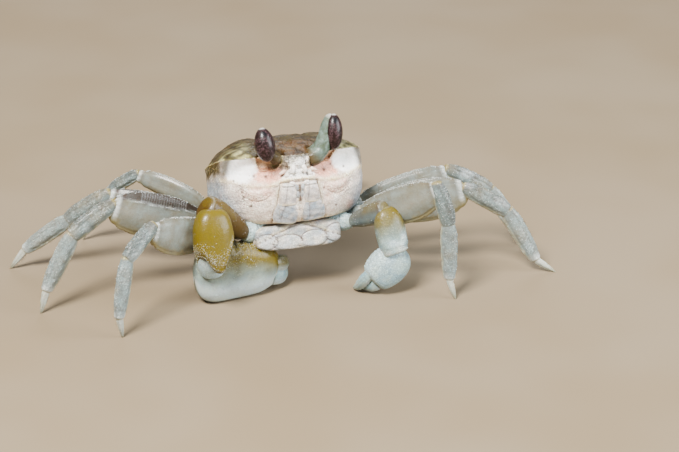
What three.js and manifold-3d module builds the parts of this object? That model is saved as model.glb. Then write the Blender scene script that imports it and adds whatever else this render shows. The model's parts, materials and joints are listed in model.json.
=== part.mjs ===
// Ghost crab, life size, standing on a flat floor with its body tipped nose up.
// Millimetres. +Z is up and the floor is z = 0. The crab faces -Y, its left side is +X.
import * as THREE from 'three';
import Module from 'manifold-3d';

const wasm = await Module();
wasm.setup();
const { Manifold } = wasm;

// ---------------------------------------------------------------- sizes
const GAP = 0.3;              // clear space between neighbouring pieces
const TUCK = 0.9;             // how far a segment starts inside the one before it
const ROOT = 1.3;             // how far a leg is set into the breastplate
const LAP = 0.4;              // how far a segment reaches past its far joint
const END_RING = 0.035;       // where along a segment its rounded end begins and stops
const SHOULDER = 0.14;

// The body has its own axes: x to the crab's left, y to the rear, z to the back shell.
const BODY_TILT = 14;         // nose up, degrees
const BODY_HEIGHT = 23.8;     // middle of the body above the floor

const SHELL = {
  // half outline from above, from the beak round the left side to the rear
  outline: [[0, -15.3], [3.2, -14.9], [9.5, -13.4], [16.7, -9.6], [18.2, -3], [18.4, 3],
    [16.6, 9.5], [12, 13.6], [6, 15.4], [0, 15.7]],
  rimFront: 8.2,              // height of the shell edge over the eyes, and at the rear
  rimRear: 1.5,
  dome: 10.6,                 // height of the back along the middle line, and at the rear
  domeRear: 6.4,
  floor: -8.6,                // underside, and how far it rises to the rear
  floorRise: 3.6,
  tuckSide: 0.70,             // outline scale where the flank meets the underside
};
const ORBIT = { x: 9.6, z: 5.2, halfWidth: 6.4, halfHeight: 2.7, depth: 3.0 };
const STERNUM = { halfWidth: 10.2, front: -9.5, rear: 11, top: -8.9, bottom: -13.8 };
const ABDOMEN = { halfWidth: 4.6, front: -5.5, rear: 11.5, thick: 1.5 };
const MOUTH_PLATE = { halfWidth: 2.65, top: 1.3, bottom: -7.2, thick: 0.9 };

// Eyes, body axes, left side. The stalk rises beside the beak; the cornea clasps its outer side.
const EYES = {
  left: { base: [2.6, -14.2, 6.4], tip: [8.8, -13.4, 16.6],
    lens: [[9.5, -14.4, 8.5], [9.8, -14.3, 16.5]] },
  right: { base: [3.0, -14.4, 6.2], tip: [8.0, -14.6, 14.8],
    lens: [[7.4, -16.2, 7.6], [8.6, -15.8, 15.2]] },
};
const STALK_RADIUS = 1.15;
const CORNEA_RADIUS = { left: 1.9, right: 2.3 };

// Walking legs: where each one leaves the body (left side, body axes) and segment lengths
// in the order ischium, merus, carpus, propodus, dactylus.
const LEG_KIND = {
  2: { hip: [11.0, -1.4, -11.2], lengths: [9.5, 22.5, 10, 14, 5.4], stout: 1.0,
    thigh: { deep: [2.1, 4.4, 2.9], lift: [-0.2, -1.9, -1.5] } },
  3: { hip: [11.5, 2.6, -10.5], lengths: [10, 24, 12, 14.5, 6], stout: 1.05,
    thigh: { deep: [2.1, 5.2, 3.4], lift: [0, -1.0, -1.5] } },
  4: { hip: [11.3, 6.2, -10.5], lengths: [9.5, 22.5, 12.5, 13.5, 6.5], stout: 1.0,
    thigh: { deep: [2.1, 4.6, 2.5], lift: [0, -0.4, -0.5] } },
  5: { hip: [10.5, 9.6, -10.0], lengths: [9, 18.5, 9, 11, 6.5], stout: 0.8,
    thigh: { deep: [1.8, 2.6, 1.9], lift: [0, 0.2, -0.5] } },
};
// The stance: heading on the floor (0 is the crab's left, -90 straight ahead) and the rise
// of the thigh, the carpus and the propodus. The dactylus reaches down to the floor.
const STANCE = {
  right_2: { heading: -148, rises: [20.5, -33, -77], curl: true },
  right_3: { heading: -171, rises: [20, -31, -61] },
  right_4: { heading: 164, rises: [14.5, -34, -36.5] },
  right_5: { heading: 145, rises: [18, -36, -54] },
  left_2: { heading: -44.5, rises: [28.5, -71, -88] },
  left_3: { heading: -21, rises: [14.5, -28, -60] },
  left_4: { heading: -8.5, rises: [18.5, -29, -57] },
  left_5: { heading: 62, rises: [12, -30, -50] },
};

// Claw arms, floor axes: start point, then heading, rise and length of each segment.
const CLAW = {
  right: {
    hip: [-8.2, -8.3, 15.2],
    ischium: [-150, 12, 5.5], merus: [-153, 40, 12.6], carpus: [-96, -76, 13.2],
    palm: { heel: [-25.8, -12.8, 7.1], heading: 7, rise: -2.5, length: 21.5, deep: [5.9, 6.9, 4.4],
      thick: [3.0, 4.0, 3.0], lean: 0 },
    arm: 1.32,
    finger: { root: [-6.6, -10.4, 8.2], tip: [-0.4, -2.8, 3.0], deep: [2.5, 2.3, 0.9] },
    pollex: { root: [-8.8, -11.0, 4.2], tip: [-1.2, -3.2, 1.6], deep: [3.2, 2.2, 0.9] },
  },
  left: {
    hip: [8.2, -8.3, 15.2],
    ischium: [-28, 8, 6.5], merus: [-49, 28, 10.8], carpus: [-66, -70, 10.5],
    palm: { heel: [24.2, -20.6, 11.2], heading: 178, rise: -42, length: 11.2,
      deep: [3.2, 4.8, 4.0], thick: [2.2, 2.9, 2.2], lean: 0 },
    arm: 1.0,
    finger: { root: [14.9, -20.4, 7.0], tip: [12.9, -15.6, -0.1], deep: [1.6, 1.4, 0.6] },
    pollex: { root: [18.4, -20.2, 4.4], tip: [14.3, -16.0, 0.9], deep: [2.2, 1.6, 0.6] },
  },
};

// ---------------------------------------------------------------- small maths
const rad = (deg) => (deg * Math.PI) / 180;
const vec = (p) => new THREE.Vector3(...p);
const along = (start, dir, d) => start.clone().addScaledVector(dir, d);
const FLOOR_UP = new THREE.Vector3(0, 0, 1);

// Direction from a heading on the floor and a rise above it, both in degrees.
const toward = (heading, rise) => new THREE.Vector3(
  Math.cos(rad(heading)) * Math.cos(rad(rise)),
  Math.sin(rad(heading)) * Math.cos(rad(rise)), Math.sin(rad(rise)));

// A value that runs smoothly through a start, a middle and an end value as t goes 0 to 1.
const through = ([a, b, c]) => (t) =>
  a * (1 - t) * (1 - 2 * t) + 4 * b * t * (1 - t) + c * t * (2 * t - 1);
const step = (a, b, x) => THREE.MathUtils.smoothstep(x, a, b);
const bell = (x, half) => Math.exp(-((x / half) ** 2));
const power = (v, n) => Math.sign(v) * Math.abs(v) ** n;

// Body axes to floor axes.
function bodyPoint([x, y, z]) {
  const c = Math.cos(rad(BODY_TILT));
  const s = Math.sin(rad(BODY_TILT));
  return new THREE.Vector3(x, y * c + z * s, BODY_HEIGHT - y * s + z * c);
}
const bodyDir = (p) => bodyPoint(p).sub(bodyPoint([0, 0, 0]));
const onSide = (p, side) => (side === 'left' ? p : [-p[0], p[1], p[2]]);

// ---------------------------------------------------------------- solids
// A closed solid from rings of points, with a single point closing each end.
function loft(start, rings, end) {
  const n = rings[0].length;
  const points = [start, ...rings.flat(), end];
  const last = points.length - 1;
  const faces = [];
  for (let j = 0; j < n; j += 1) {
    const k = (j + 1) % n;
    faces.push([0, 1 + j, 1 + k]);
    for (let i = 0; i < rings.length - 1; i += 1) {
      const a = 1 + i * n;
      faces.push([a + j, a + n + j, a + k], [a + k, a + n + j, a + n + k]);
    }
    const a = 1 + (rings.length - 1) * n;
    faces.push([a + j, last, a + k]);
  }
  const volume = faces.reduce((sum, [a, b, c]) =>
    sum + points[a].dot(points[b].clone().cross(points[c])), 0);
  const turned = volume > 0 ? faces : faces.map(([a, b, c]) => [a, c, b]);
  return new Manifold(new wasm.Mesh({
    numProp: 3,
    vertProperties: new Float32Array(points.flatMap((p) => [p.x, p.y, p.z])),
    triVerts: new Uint32Array(turned.flat()),
  }));
}

// A limb segment: rounded at both ends, `deep` across the up direction and `thick` across
// the side, each a half size through [start, middle, end]. `lift` moves the middle line up,
// `bow` bends it, `square` squares the section and `blunt` squares the ends.
function limb({ from, to, up = FLOOR_UP, deep, thick, lift = [0, 0, 0], bow = [0, 0, 0],
  rings = 7, sides = 8, square = 2.2, blunt = 4 }, grow = 0) {
  const axis = to.clone().sub(from);
  const length = axis.length() + 2 * grow;
  axis.normalize();
  const side = axis.clone().cross(up).normalize();
  const top = side.clone().cross(axis);
  const base = along(from, axis, -grow);
  const [deepAt, thickAt, liftAt] = [deep, thick, lift].map(through);
  const bend = vec(bow);
  const middle = (t) => along(along(base, axis, t * length), top, liftAt(t))
    .addScaledVector(bend, 4 * t * (1 - t));
  const loops = [];
  const places = [END_RING, ...Array.from({ length: rings - 2 }, (_, i) =>
    SHOULDER + ((1 - 2 * SHOULDER) * i) / (rings - 3)), 1 - END_RING];
  for (const t of places) {
    const close = (1 - Math.abs(2 * t - 1) ** blunt) ** (1 / blunt);
    const loop = [];
    for (let j = 0; j < sides; j += 1) {
      const a = (2 * Math.PI * (j + 0.5)) / sides;
      const c = power(Math.cos(a), 2 / square) * (thickAt(t) + grow) * close;
      const s = power(Math.sin(a), 2 / square) * (deepAt(t) + grow) * close;
      loop.push(along(along(middle(t), side, c), top, s));
    }
    loops.push(loop);
  }
  return loft(middle(0), loops, middle(1));
}

// Segments of one limb in order; every one is hollowed to hold the root of the next.
function chain(segments) {
  return segments.map((s, i) => (i + 1 < segments.length
    ? limb(s).subtract(limb(segments[i + 1], GAP)) : limb(s)));
}

const solids = {};

// ---------------------------------------------------------------- walking legs
const LEG_PART = {
  ischium: { deep: [1.9, 2.1, 2.0], thick: [1.5, 1.6, 1.3], rings: 4 },
  merus: { thick: [1.1, 1.6, 1.3], rings: 5 },
  carpus: { deep: [1.5, 2.1, 1.7], thick: [1.2, 1.5, 1.2], lift: [0, 0.2, 0], rings: 4 },
  propodus: { deep: [1.6, 2.1, 1.2], thick: [1.0, 1.2, 0.8], rings: 4 },
  dactylus: { deep: [1.1, 1.0, 0.5], thick: [0.8, 0.75, 0.45], rings: 4, blunt: 3 },
};
const grownLegs = [];

function buildLeg(key) {
  const [side, number] = key.split('_');
  const { hip, lengths, stout, thigh } = LEG_KIND[number];
  const { heading, rises, curl } = STANCE[key];
  const slope = [rises[0], rises[0], rises[1], rises[2]];
  const joints = [bodyPoint(onSide(hip, side))];
  slope.forEach((rise, i) => joints.push(along(joints[i], toward(heading, rise), lengths[i])));
  const ankle = joints[4];
  const drop = Math.asin(Math.min(0.99, ankle.z / lengths[4])) / rad(1);
  joints.push(along(ankle, toward(heading, curl ? drop - 180 : -drop), lengths[4]));
  const across = toward(heading + 90, 0);
  const segments = Object.entries(LEG_PART).map(([part, shape], i) => {
    const dir = joints[i + 1].clone().sub(joints[i]).normalize();
    const deep = part === 'merus' ? thigh.deep : shape.deep.map((v) => v * stout);
    return { ...shape, ...(part === 'merus' ? thigh : {}), deep,
      thick: shape.thick.map((v) => v * stout),
      from: along(joints[i], dir, i ? -TUCK : -ROOT), to: along(joints[i + 1], dir, LAP),
      up: across.clone().cross(dir).negate() };
  });
  chain(segments).forEach((solid, i) => {
    solids[`${Object.keys(LEG_PART)[i]}_${key}`] = solid.trimByPlane([0, 0, 1], 0);
  });
  grownLegs.push(limb(segments[0], GAP), limb(segments[1], GAP));
}
Object.keys(STANCE).forEach(buildLeg);

// ---------------------------------------------------------------- claws
const grownClaws = [];

function buildClaw(side) {
  const { hip, ischium, merus, carpus, palm, arm, finger, pollex } = CLAW[side];
  const joints = [vec(hip)];
  [ischium, merus, carpus].forEach(([heading, rise, length], i) =>
    joints.push(along(joints[i], toward(heading, rise), length)));
  const scaled = (list) => list.map((v) => v * arm);
  const link = (i, shape) => {
    const dir = joints[i + 1].clone().sub(joints[i]).normalize();
    return { ...shape, deep: scaled(shape.deep), thick: scaled(shape.thick),
      from: along(joints[i], dir, i ? -TUCK : -ROOT), to: along(joints[i + 1], dir, LAP) };
  };
  const heel = vec(palm.heel);
  const palmDir = toward(palm.heading, palm.rise);
  const leanUp = toward(palm.heading + 90, 0).applyAxisAngle(palmDir, rad(90 + palm.lean));
  const up = leanUp.z < 0 ? leanUp.negate() : leanUp;
  const digit = ({ root, tip, deep }) => ({ from: vec(root), to: vec(tip), up, deep,
    thick: deep.map((v) => v * 0.8), rings: 6, blunt: 3 });
  const hand = { from: heel, to: along(heel, palmDir, palm.length), up, deep: palm.deep,
    thick: palm.thick, rings: 7, sides: 12, square: 2.3, blunt: 3.2 };
  const segments = {
    ischium: link(0, { deep: [1.8, 2.1, 1.9], thick: [1.6, 1.9, 1.7], rings: 4 }),
    merus: link(1, { deep: [1.9, 2.7, 2.9], thick: [1.7, 2.4, 2.6], rings: 6, sides: 8 }),
    carpus: link(2, { deep: [2.4, 3.6, 3.1], thick: [2.1, 2.8, 2.7], rings: 7, sides: 12,
      up: toward(palm.heading, 0) }),
  };
  const grownFinger = limb(digit(finger), GAP);
  const solidPalm = limb(hand).add(limb(digit(pollex))).subtract(grownFinger);
  const grownPalm = limb(hand, GAP).add(limb(digit(pollex), GAP));
  solids[`ischium_claw_${side}`] = limb(segments.ischium).subtract(limb(segments.merus, GAP));
  solids[`merus_claw_${side}`] = limb(segments.merus).subtract(limb(segments.carpus, GAP))
    .subtract(grownPalm);
  solids[`carpus_claw_${side}`] = limb(segments.carpus).subtract(grownPalm);
  solids[`palm_${side}`] = solidPalm.trimByPlane([0, 0, 1], 0);
  solids[`finger_${side}`] = limb(digit(finger)).trimByPlane([0, 0, 1], 0);
  grownClaws.push(limb(segments.ischium, GAP), limb(segments.merus, GAP),
    limb(segments.carpus, GAP), grownPalm, grownFinger);
}
['right', 'left'].forEach(buildClaw);

// ---------------------------------------------------------------- body
// Closed outline of the shell from above, as points at even steps round it.
const OUTLINE = new THREE.CatmullRomCurve3([
  ...SHELL.outline.map(([x, y]) => new THREE.Vector3(x, y, 0)),
  ...SHELL.outline.slice(1, -1).reverse().map(([x, y]) => new THREE.Vector3(-x, y, 0)),
], true, 'centripetal');

// Height of the shell edge at a place along the body.
const rimHeight = (y) => THREE.MathUtils.lerp(SHELL.rimFront, SHELL.rimRear, step(-15, 20, y) / 0.95);
const domeHeight = (y) => THREE.MathUtils.lerp(SHELL.dome, SHELL.domeRear, step(2, 17, y));
const floorHeight = (y) => SHELL.floor + SHELL.floorRise * step(2, 16, y);

// Hollows and swellings of the face, as a push backward at a place on it.
function facePush(x, z) {
  const ax = Math.abs(x);
  const orbit = bell(Math.hypot((ax - ORBIT.x) / ORBIT.halfWidth,
    (z - ORBIT.z) / ORBIT.halfHeight) ** 2, 1) * ORBIT.depth;
  const beside = 1.2 * bell(ax - 3, 1.6) * bell(z - 5, 3);
  const cheek = -0.8 * bell(ax - 9, 4) * bell(z + 1.5, 3);
  return orbit + beside + cheek;
}

function buildShell() {
  const sides = 32;
  const rings = [];
  const ring = (scale, height, isFlank) => {
    const loop = [];
    for (let j = 0; j < sides; j += 1) {
      const p = OUTLINE.getPointAt(j / sides);
      const x = p.x * scale[0];
      let y = p.y * scale[1];
      const z = height(p.y);
      if (isFlank) y += facePush(x, z) * (1 - step(-11.5, -7, p.y));
      loop.push(bodyPoint([x, y, z]));
    }
    rings.push(loop);
  };
  // underside, then the flank and face, then the edge, then the back
  ring([0.34, 0.34], (y) => floorHeight(0.34 * y));
  ring([SHELL.tuckSide, 0.72], floorHeight);
  for (const t of [0.12, 0.32, 0.52, 0.64, 0.74, 0.83, 0.92, 1]) {
    const tuck = Math.sqrt(1 - (1 - Math.min(1, t / 0.55)) ** 2);
    ring([0.72 + 0.28 * tuck, 0.76 + 0.24 * tuck],
      (y) => THREE.MathUtils.lerp(floorHeight(y), rimHeight(y) - 0.4, t), true);
  }
  for (const s of [0.985, 0.92, 0.75, 0.5, 0.25]) {
    ring([s, s], (y) => THREE.MathUtils.lerp(domeHeight(s * y), rimHeight(y), s ** 4));
  }
  return loft(bodyPoint([0, 0, SHELL.floor]), rings, bodyPoint([0, 0, SHELL.dome]));
}

const crabUp = bodyDir([0, 0, 1]);
const sternumShape = {
  from: bodyPoint([0, STERNUM.front, (STERNUM.top + STERNUM.bottom) / 2 + 0.8]),
  to: bodyPoint([0, STERNUM.rear, (STERNUM.top + STERNUM.bottom) / 2 + 1.2]), up: crabUp,
  deep: [2.0, 2.25, 2.4], thick: [7.2, STERNUM.halfWidth, 8.2], rings: 7, sides: 12, square: 3.2,
};
const abdomenShape = {
  from: bodyPoint([0, ABDOMEN.front, STERNUM.bottom + 0.1]),
  to: bodyPoint([0, ABDOMEN.rear, STERNUM.bottom + 1.4]), up: crabUp,
  deep: [0.9, ABDOMEN.thick, 1.3], thick: [1.6, ABDOMEN.halfWidth, 5.4], rings: 6, sides: 8,
};

const grownArms = Manifold.union(grownClaws);
for (const key of ['merus_right_2', 'merus_left_2', 'ischium_right_2', 'ischium_left_2']) {
  solids[key] = solids[key].subtract(grownArms);
}
const grownLimbs = Manifold.union([...grownLegs, grownArms]);
let shell = buildShell().subtract(grownLimbs).subtract(limb(sternumShape, GAP))
  .subtract(limb(abdomenShape, GAP));
solids.sternum = limb(sternumShape).subtract(grownLimbs).subtract(limb(abdomenShape, GAP));
solids.abdomen = limb(abdomenShape).subtract(grownLimbs);

for (const side of ['left', 'right']) {
  const put = (p) => bodyPoint(onSide(p, side));
  const plate = {
    from: put([MOUTH_PLATE.halfWidth + 0.2, -13.6, MOUTH_PLATE.bottom]),
    to: put([MOUTH_PLATE.halfWidth + 0.2, -15.4, MOUTH_PLATE.top]), up: bodyDir([0, -1, 0]),
    deep: [0.7, MOUTH_PLATE.thick, 0.7], thick: [2.4, MOUTH_PLATE.halfWidth, 2.3],
    rings: 6, sides: 10, square: 2.8, blunt: 5,
  };
  solids[`maxilliped_${side}`] = limb(plate).subtract(grownLimbs);
  shell = shell.subtract(limb(plate, GAP));

  const eye = EYES[side];
  const stalk = { from: put(eye.base), to: put(eye.tip), up: bodyDir([0, -1, 0]),
    deep: [1.2, 1, 0.9].map((v) => v * STALK_RADIUS), rings: 5,
    thick: [1.2, 1, 0.9].map((v) => v * STALK_RADIUS), blunt: 3 };
  const [low, high] = eye.lens.map(put);
  const girth = [0.9, 1, 0.85].map((v) => v * CORNEA_RADIUS[side]);
  const cornea = { from: low, to: high, up: bodyDir([0, -1, 0]), deep: girth, thick: girth,
    rings: 6, sides: 12, blunt: 2.2 };
  solids[`cornea_${side}`] = limb(cornea);
  solids[`eyestalk_${side}`] = limb(stalk).subtract(limb(cornea, GAP));
  shell = shell.subtract(limb(stalk, GAP)).subtract(limb(cornea, GAP));
}
solids.carapace = shell;

// ---------------------------------------------------------------- meshes
const COLOUR = {
  carapace: ['#a89a6c', 0.55], sternum: ['#c9cdc4', 0.5], abdomen: ['#c4c8bd', 0.5],
  maxilliped: ['#d8d3c6', 0.5], eyestalk: ['#8f9a78', 0.4], cornea: ['#2b1c1a', 0.15],
  ischium: ['#b9c2be', 0.45], merus: ['#aeb9b6', 0.45], carpus: ['#b3b9ab', 0.45],
  propodus: ['#b5c0bd', 0.45], dactylus: ['#b9b8a4', 0.45], palm: ['#b9cbd0', 0.4],
  finger: ['#c9cfc6', 0.4],
};

function toGeometry(solid) {
  const mesh = solid.getMesh();
  const geometry = new THREE.BufferGeometry();
  const xyz = new Float32Array(mesh.numVert * 3);
  for (let i = 0; i < mesh.numVert; i += 1) {
    for (let k = 0; k < 3; k += 1) xyz[3 * i + k] = mesh.vertProperties[i * mesh.numProp + k];
  }
  geometry.setAttribute('position', new THREE.BufferAttribute(xyz, 3));
  geometry.setIndex(new THREE.BufferAttribute(mesh.triVerts, 1));
  return geometry;
}

// The largest connected piece, so that no cut leaves a loose chip behind.
const mainPiece = (solid) => solid.decompose().reduce((a, b) => (a.volume() > b.volume() ? a : b));

const group = new THREE.Group();
group.name = 'ghost_crab';
const geometries = Object.entries(solids).map(([name, solid]) => [name, toGeometry(mainPiece(solid))]);

// Origin on the floor under the middle of the whole crab.
const box = new THREE.Box3();
geometries.forEach(([, g]) => { g.computeBoundingBox(); box.union(g.boundingBox); });
const middle = box.getCenter(new THREE.Vector3());
for (const [name, geometry] of geometries) {
  geometry.translate(-middle.x, -middle.y, 0);
  geometry.computeVertexNormals();
  const [color, roughness] = COLOUR[name.split('_')[0]];
  const mesh = new THREE.Mesh(geometry,
    new THREE.MeshStandardMaterial({ color, roughness, metalness: 0 }));
  mesh.name = name;
  group.add(mesh);
}

export default group;
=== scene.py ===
import json
import math

import bpy
import numpy as np
from mathutils import Matrix

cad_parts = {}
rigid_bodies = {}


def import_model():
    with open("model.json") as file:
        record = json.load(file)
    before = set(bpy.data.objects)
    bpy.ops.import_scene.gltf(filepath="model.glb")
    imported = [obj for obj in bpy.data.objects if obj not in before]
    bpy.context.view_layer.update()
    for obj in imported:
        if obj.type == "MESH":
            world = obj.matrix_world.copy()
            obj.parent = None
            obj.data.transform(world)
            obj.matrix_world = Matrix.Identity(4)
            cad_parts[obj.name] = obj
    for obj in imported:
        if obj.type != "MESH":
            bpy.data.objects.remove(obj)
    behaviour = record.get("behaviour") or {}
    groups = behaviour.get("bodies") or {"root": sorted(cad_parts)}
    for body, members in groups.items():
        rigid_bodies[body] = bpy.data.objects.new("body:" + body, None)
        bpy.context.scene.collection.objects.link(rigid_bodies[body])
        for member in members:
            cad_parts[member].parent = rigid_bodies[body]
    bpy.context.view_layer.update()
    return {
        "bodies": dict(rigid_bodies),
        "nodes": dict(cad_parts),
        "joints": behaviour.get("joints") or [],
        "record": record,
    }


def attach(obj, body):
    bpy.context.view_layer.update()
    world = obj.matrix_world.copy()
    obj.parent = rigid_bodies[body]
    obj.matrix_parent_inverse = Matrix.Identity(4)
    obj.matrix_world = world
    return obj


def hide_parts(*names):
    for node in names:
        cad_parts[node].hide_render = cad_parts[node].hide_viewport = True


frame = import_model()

bl_info = {
    "name": "Ghost crab",
    "version": (1, 0, 0),
    "blender": (4, 5, 0),
    "location": "3D View > Sidebar > Crab",
    "description": "Builds the shell, limbs, eyes, bristles and stage of a life-size ghost crab",
    "category": "Add Mesh",
}

# ---------------------------------------------------------------- sizes, millimetres
# Floor axes: the crab faces -Y, its left is +X and the floor is z = 0.
# Body axes: x to the crab's left, y to the rear, z to the back shell, tipped nose up.
MM = 0.001
MIDDLE = np.array((-0.857, 10.045, 0.0))    # the frame's origin, in floor axes
BODY_TILT = math.radians(14)
BODY_HEIGHT = 23.8
TUCK, ROOT, LAP = 0.9, 1.3, 0.4             # how far limb segments reach into each other

OUTLINE = np.array([(0, -15.3), (3.2, -14.9), (9.5, -13.4), (16.7, -9.6), (18.2, -3), (18.4, 3),
                    (16.6, 9.5), (12, 13.6), (6, 15.4), (0, 15.7)])
RIM_FRONT, RIM_REAR = 8.2, 1.5
DOME, DOME_REAR = 10.6, 6.4
UNDER, UNDER_RISE = -8.6, 3.6
ORBIT = {"x": 9.6, "z": 5.0, "half_width": 6.6, "half_height": 2.6, "depth": 2.1}
STERNUM = {"half_width": 10.2, "front": -9.5, "rear": 11, "top": -8.9, "bottom": -13.8}
ABDOMEN = {"half_width": 4.6, "front": -5.5, "rear": 11.5, "thick": 1.5}
WRIST_CORNER = 0.62            # angle round a wrist at which its tooth stands
MOUTH_STRIPS = (               # path, half sizes and marks of each slim piece of the mouth, left side
    ([(6.1, -12.0, -7.2), (5.9, -13.0, -4.4), (5.5, -13.9, -1.4), (4.9, -14.5, 1.3)],
     (0.4, 0.5, 0.45, 0.3), {"cream": 0.3, "granular": 0.5, "blue": 0.4}),
    ([(0.4, -14.6, -2.3), (0.45, -15.0, -1.3), (0.6, -15.1, -0.4)], (0.34, 0.46, 0.3),
     {"blue": 1.0, "granular": 0.5}),
    ([(0.6, -15.0, -0.5), (0.65, -15.3, 0.4), (1.0, -15.2, 1.3)], (0.32, 0.45, 0.3),
     {"blue": 1.0, "granular": 0.5}),
    ([(1.0, -15.2, 1.2), (1.6, -15.4, 1.6), (2.3, -15.2, 1.7)], (0.3, 0.4, 0.3),
     {"white": 0.6, "granular": 0.5}),
    ([(3.2, -14.4, 4.6), (3.7, -14.8, 4.4), (4.2, -14.9, 4.2), (4.7, -14.8, 4.0)],
     (0.45, 0.4, 0.3, 0.15), {"pink": 0.7, "granular": 0.4}),
    ([(1.1, -14.8, 5.6), (1.3, -15.5, 5.2), (1.5, -15.7, 4.4), (1.3, -15.4, 3.7)],
     (0.5, 0.55, 0.42, 0.18), {"white": 0.8, "granular": 0.4}),
    ([(2.2, -14.5, 3.4), (2.8, -14.8, 3.5), (3.3, -14.7, 3.3)], (0.35, 0.45, 0.3),
     {"white": 0.5, "granular": 0.7}),
)

EYES = {
    "left": {"stalk": [(3.2, -13.0, 6.8), (4.7, -13.5, 7.5), (6.3, -13.8, 9.2), (7.5, -13.8, 12.0),
                       (8.4, -13.8, 14.8), (9.1, -13.9, 16.9)],
             "stalk_radii": (2.4, 2.3, 2.0, 1.75, 1.5, 0.8), "brown": (0.36, 0.1),
             "lens": [(9.2, -14.5, 8.4), (9.7, -14.4, 16.9)], "radius": 2.05},
    "right": {"stalk": [(4.1, -13.0, 7.4), (5.0, -13.5, 7.7), (6.1, -14.2, 8.8), (6.8, -14.6, 10.6),
                        (7.4, -14.9, 13.0), (8.1, -15.2, 15.0)],
              "stalk_radii": (1.5, 1.5, 1.4, 1.3, 1.15, 0.7), "brown": (0.95, 0.7),
              "lens": [(7.4, -16.1, 7.4), (8.3, -15.8, 15.5)], "radius": 2.35},
}

LEG_KIND = {
    "2": {"hip": (11.0, -1.4, -11.2), "lengths": (9.5, 22.5, 10, 14, 5.4), "stout": 1.0,
          "thigh": {"deep": (2.1, 4.4, 2.9), "lift": (-0.2, -1.9, -1.5)}},
    "3": {"hip": (11.5, 2.6, -10.5), "lengths": (10, 24, 12, 14.5, 6), "stout": 1.05,
          "thigh": {"deep": (2.1, 5.3, 4.0), "lift": (0, -0.9, -0.9)}},
    "4": {"hip": (11.3, 6.2, -10.5), "lengths": (9.5, 22.5, 12.5, 13.5, 6.5), "stout": 1.0,
          "thigh": {"deep": (2.1, 3.9, 2.4), "lift": (0, -1.1, -0.7)}},
    "5": {"hip": (10.5, 9.6, -10.0), "lengths": (9, 18.5, 9, 11, 6.5), "stout": 0.8,
          "thigh": {"deep": (1.8, 2.6, 1.9), "lift": (0, 0.2, -0.5)}},
}
STANCE = {
    "right_2": {"heading": -148, "rises": (20.5, -33, -77), "curl": True},
    "right_3": {"heading": -171, "rises": (20, -31, -61)},
    "right_4": {"heading": 164, "rises": (14.5, -34, -36.5)},
    "right_5": {"heading": 145, "rises": (18, -36, -54)},
    "left_2": {"heading": -44.5, "rises": (28.5, -71, -88)},
    "left_3": {"heading": -21, "rises": (14.5, -28, -60)},
    "left_4": {"heading": -8.5, "rises": (18.5, -29, -57)},
    "left_5": {"heading": 62, "rises": (12, -30, -50)},
}
LEG_PART = {
    "ischium": {"deep": (1.9, 2.1, 2.0), "thick": (1.5, 1.6, 1.3)},
    "merus": {"thick": (1.1, 1.6, 1.3)},
    "carpus": {"deep": (1.6, 2.1, 1.9), "thick": (1.2, 1.5, 1.3), "lift": (0, 0.2, 0), "blunt": 6},
    "propodus": {"deep": (1.8, 2.05, 1.35), "thick": (1.1, 1.2, 0.9), "blunt": (6, 7)},
    "dactylus": {"deep": (1.0, 0.72, 0.25), "thick": (0.72, 0.55, 0.24), "blunt": (4, 2.5)},
}
CLAW = {
    "right": {
        "hip": (-8.2, -8.3, 15.2), "arm": 1.32, "up": 7,
        "ischium": (-150, 12, 5.5), "merus": (-153, 40, 12.6), "carpus": (-96, -76, 13.2),
        "palm": [(-25.6, -12.8, 7.0), (-21.5, -12.4, 7.0), (-16.5, -11.8, 7.1), (-10.6, -11.2, 6.7),
                 (-4.6, -10.6, 5.6)],
        "palm_deep": (5.8, 6.7, 6.9, 6.3, 4.8), "palm_thick": (3.6, 4.3, 4.1, 3.6, 2.7),
        "finger": [(-7.0, -10.7, 6.8), (-3.7, -9.6, 6.3), (-1.9, -6.8, 5.0), (-0.6, -3.2, 3.0)],
        "finger_deep": (2.0, 2.0, 1.5, 0.45),
        "pollex": [(-6.8, -10.8, 3.9), (-3.8, -9.4, 3.2), (-2.1, -6.6, 2.7), (-0.9, -3.4, 1.8)],
        "pollex_deep": (2.4, 2.1, 1.4, 0.45),
    },
    "left": {
        "hip": (8.2, -8.3, 15.2), "arm": 1.0, "up": 178,
        "ischium": (-28, 8, 6.5), "merus": (-49, 28, 10.8), "carpus": (-66, -70, 10.5),
        "palm": [(24.4, -20.6, 11.2), (22.6, -20.5, 9.5), (20.2, -20.4, 7.4), (17.9, -20.3, 5.4),
                 (16.2, -20.1, 4.0)],
        "palm_deep": (2.2, 4.1, 4.8, 4.3, 3.1), "palm_thick": (1.6, 2.6, 2.9, 2.5, 1.8),
        "finger": [(16.2, -20.6, 6.6), (14.6, -20.0, 4.4), (13.6, -18.0, 1.8), (13.0, -15.8, 0.3)],
        "finger_deep": (1.3, 1.35, 1.0, 0.35),
        "pollex": [(17.6, -20.1, 3.2), (16.4, -19.4, 2.2), (15.4, -17.8, 1.3), (14.4, -16.2, 0.7)],
        "pollex_deep": (1.9, 1.6, 1.0, 0.35),
    },
}
ELBOW_BACK = np.array((-0.9, 1.3, 0.2))
WRIST_KNOB = np.array([(-0.4, 1.3, 4.0), (-0.4, 2.3, 1.2), (0.2, 3.8, -2.6)])
CAMERA = {"place": (-117.4, -471.2, 223.5), "pitch": 66.0, "turn": -16.0, "lens": 112.67}
SEED = 7


# ---------------------------------------------------------------- small maths
def unit(v):
    """The same directions at length one."""
    v = np.asarray(v, float)
    return v / np.maximum(np.linalg.norm(v, axis=-1, keepdims=True), 1e-9)


def toward(heading, rise):
    """Direction from a heading on the floor and a rise above it, both in degrees."""
    h, r = math.radians(heading), math.radians(rise)
    return np.array((math.cos(h) * math.cos(r), math.sin(h) * math.cos(r), math.sin(r)))


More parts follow.
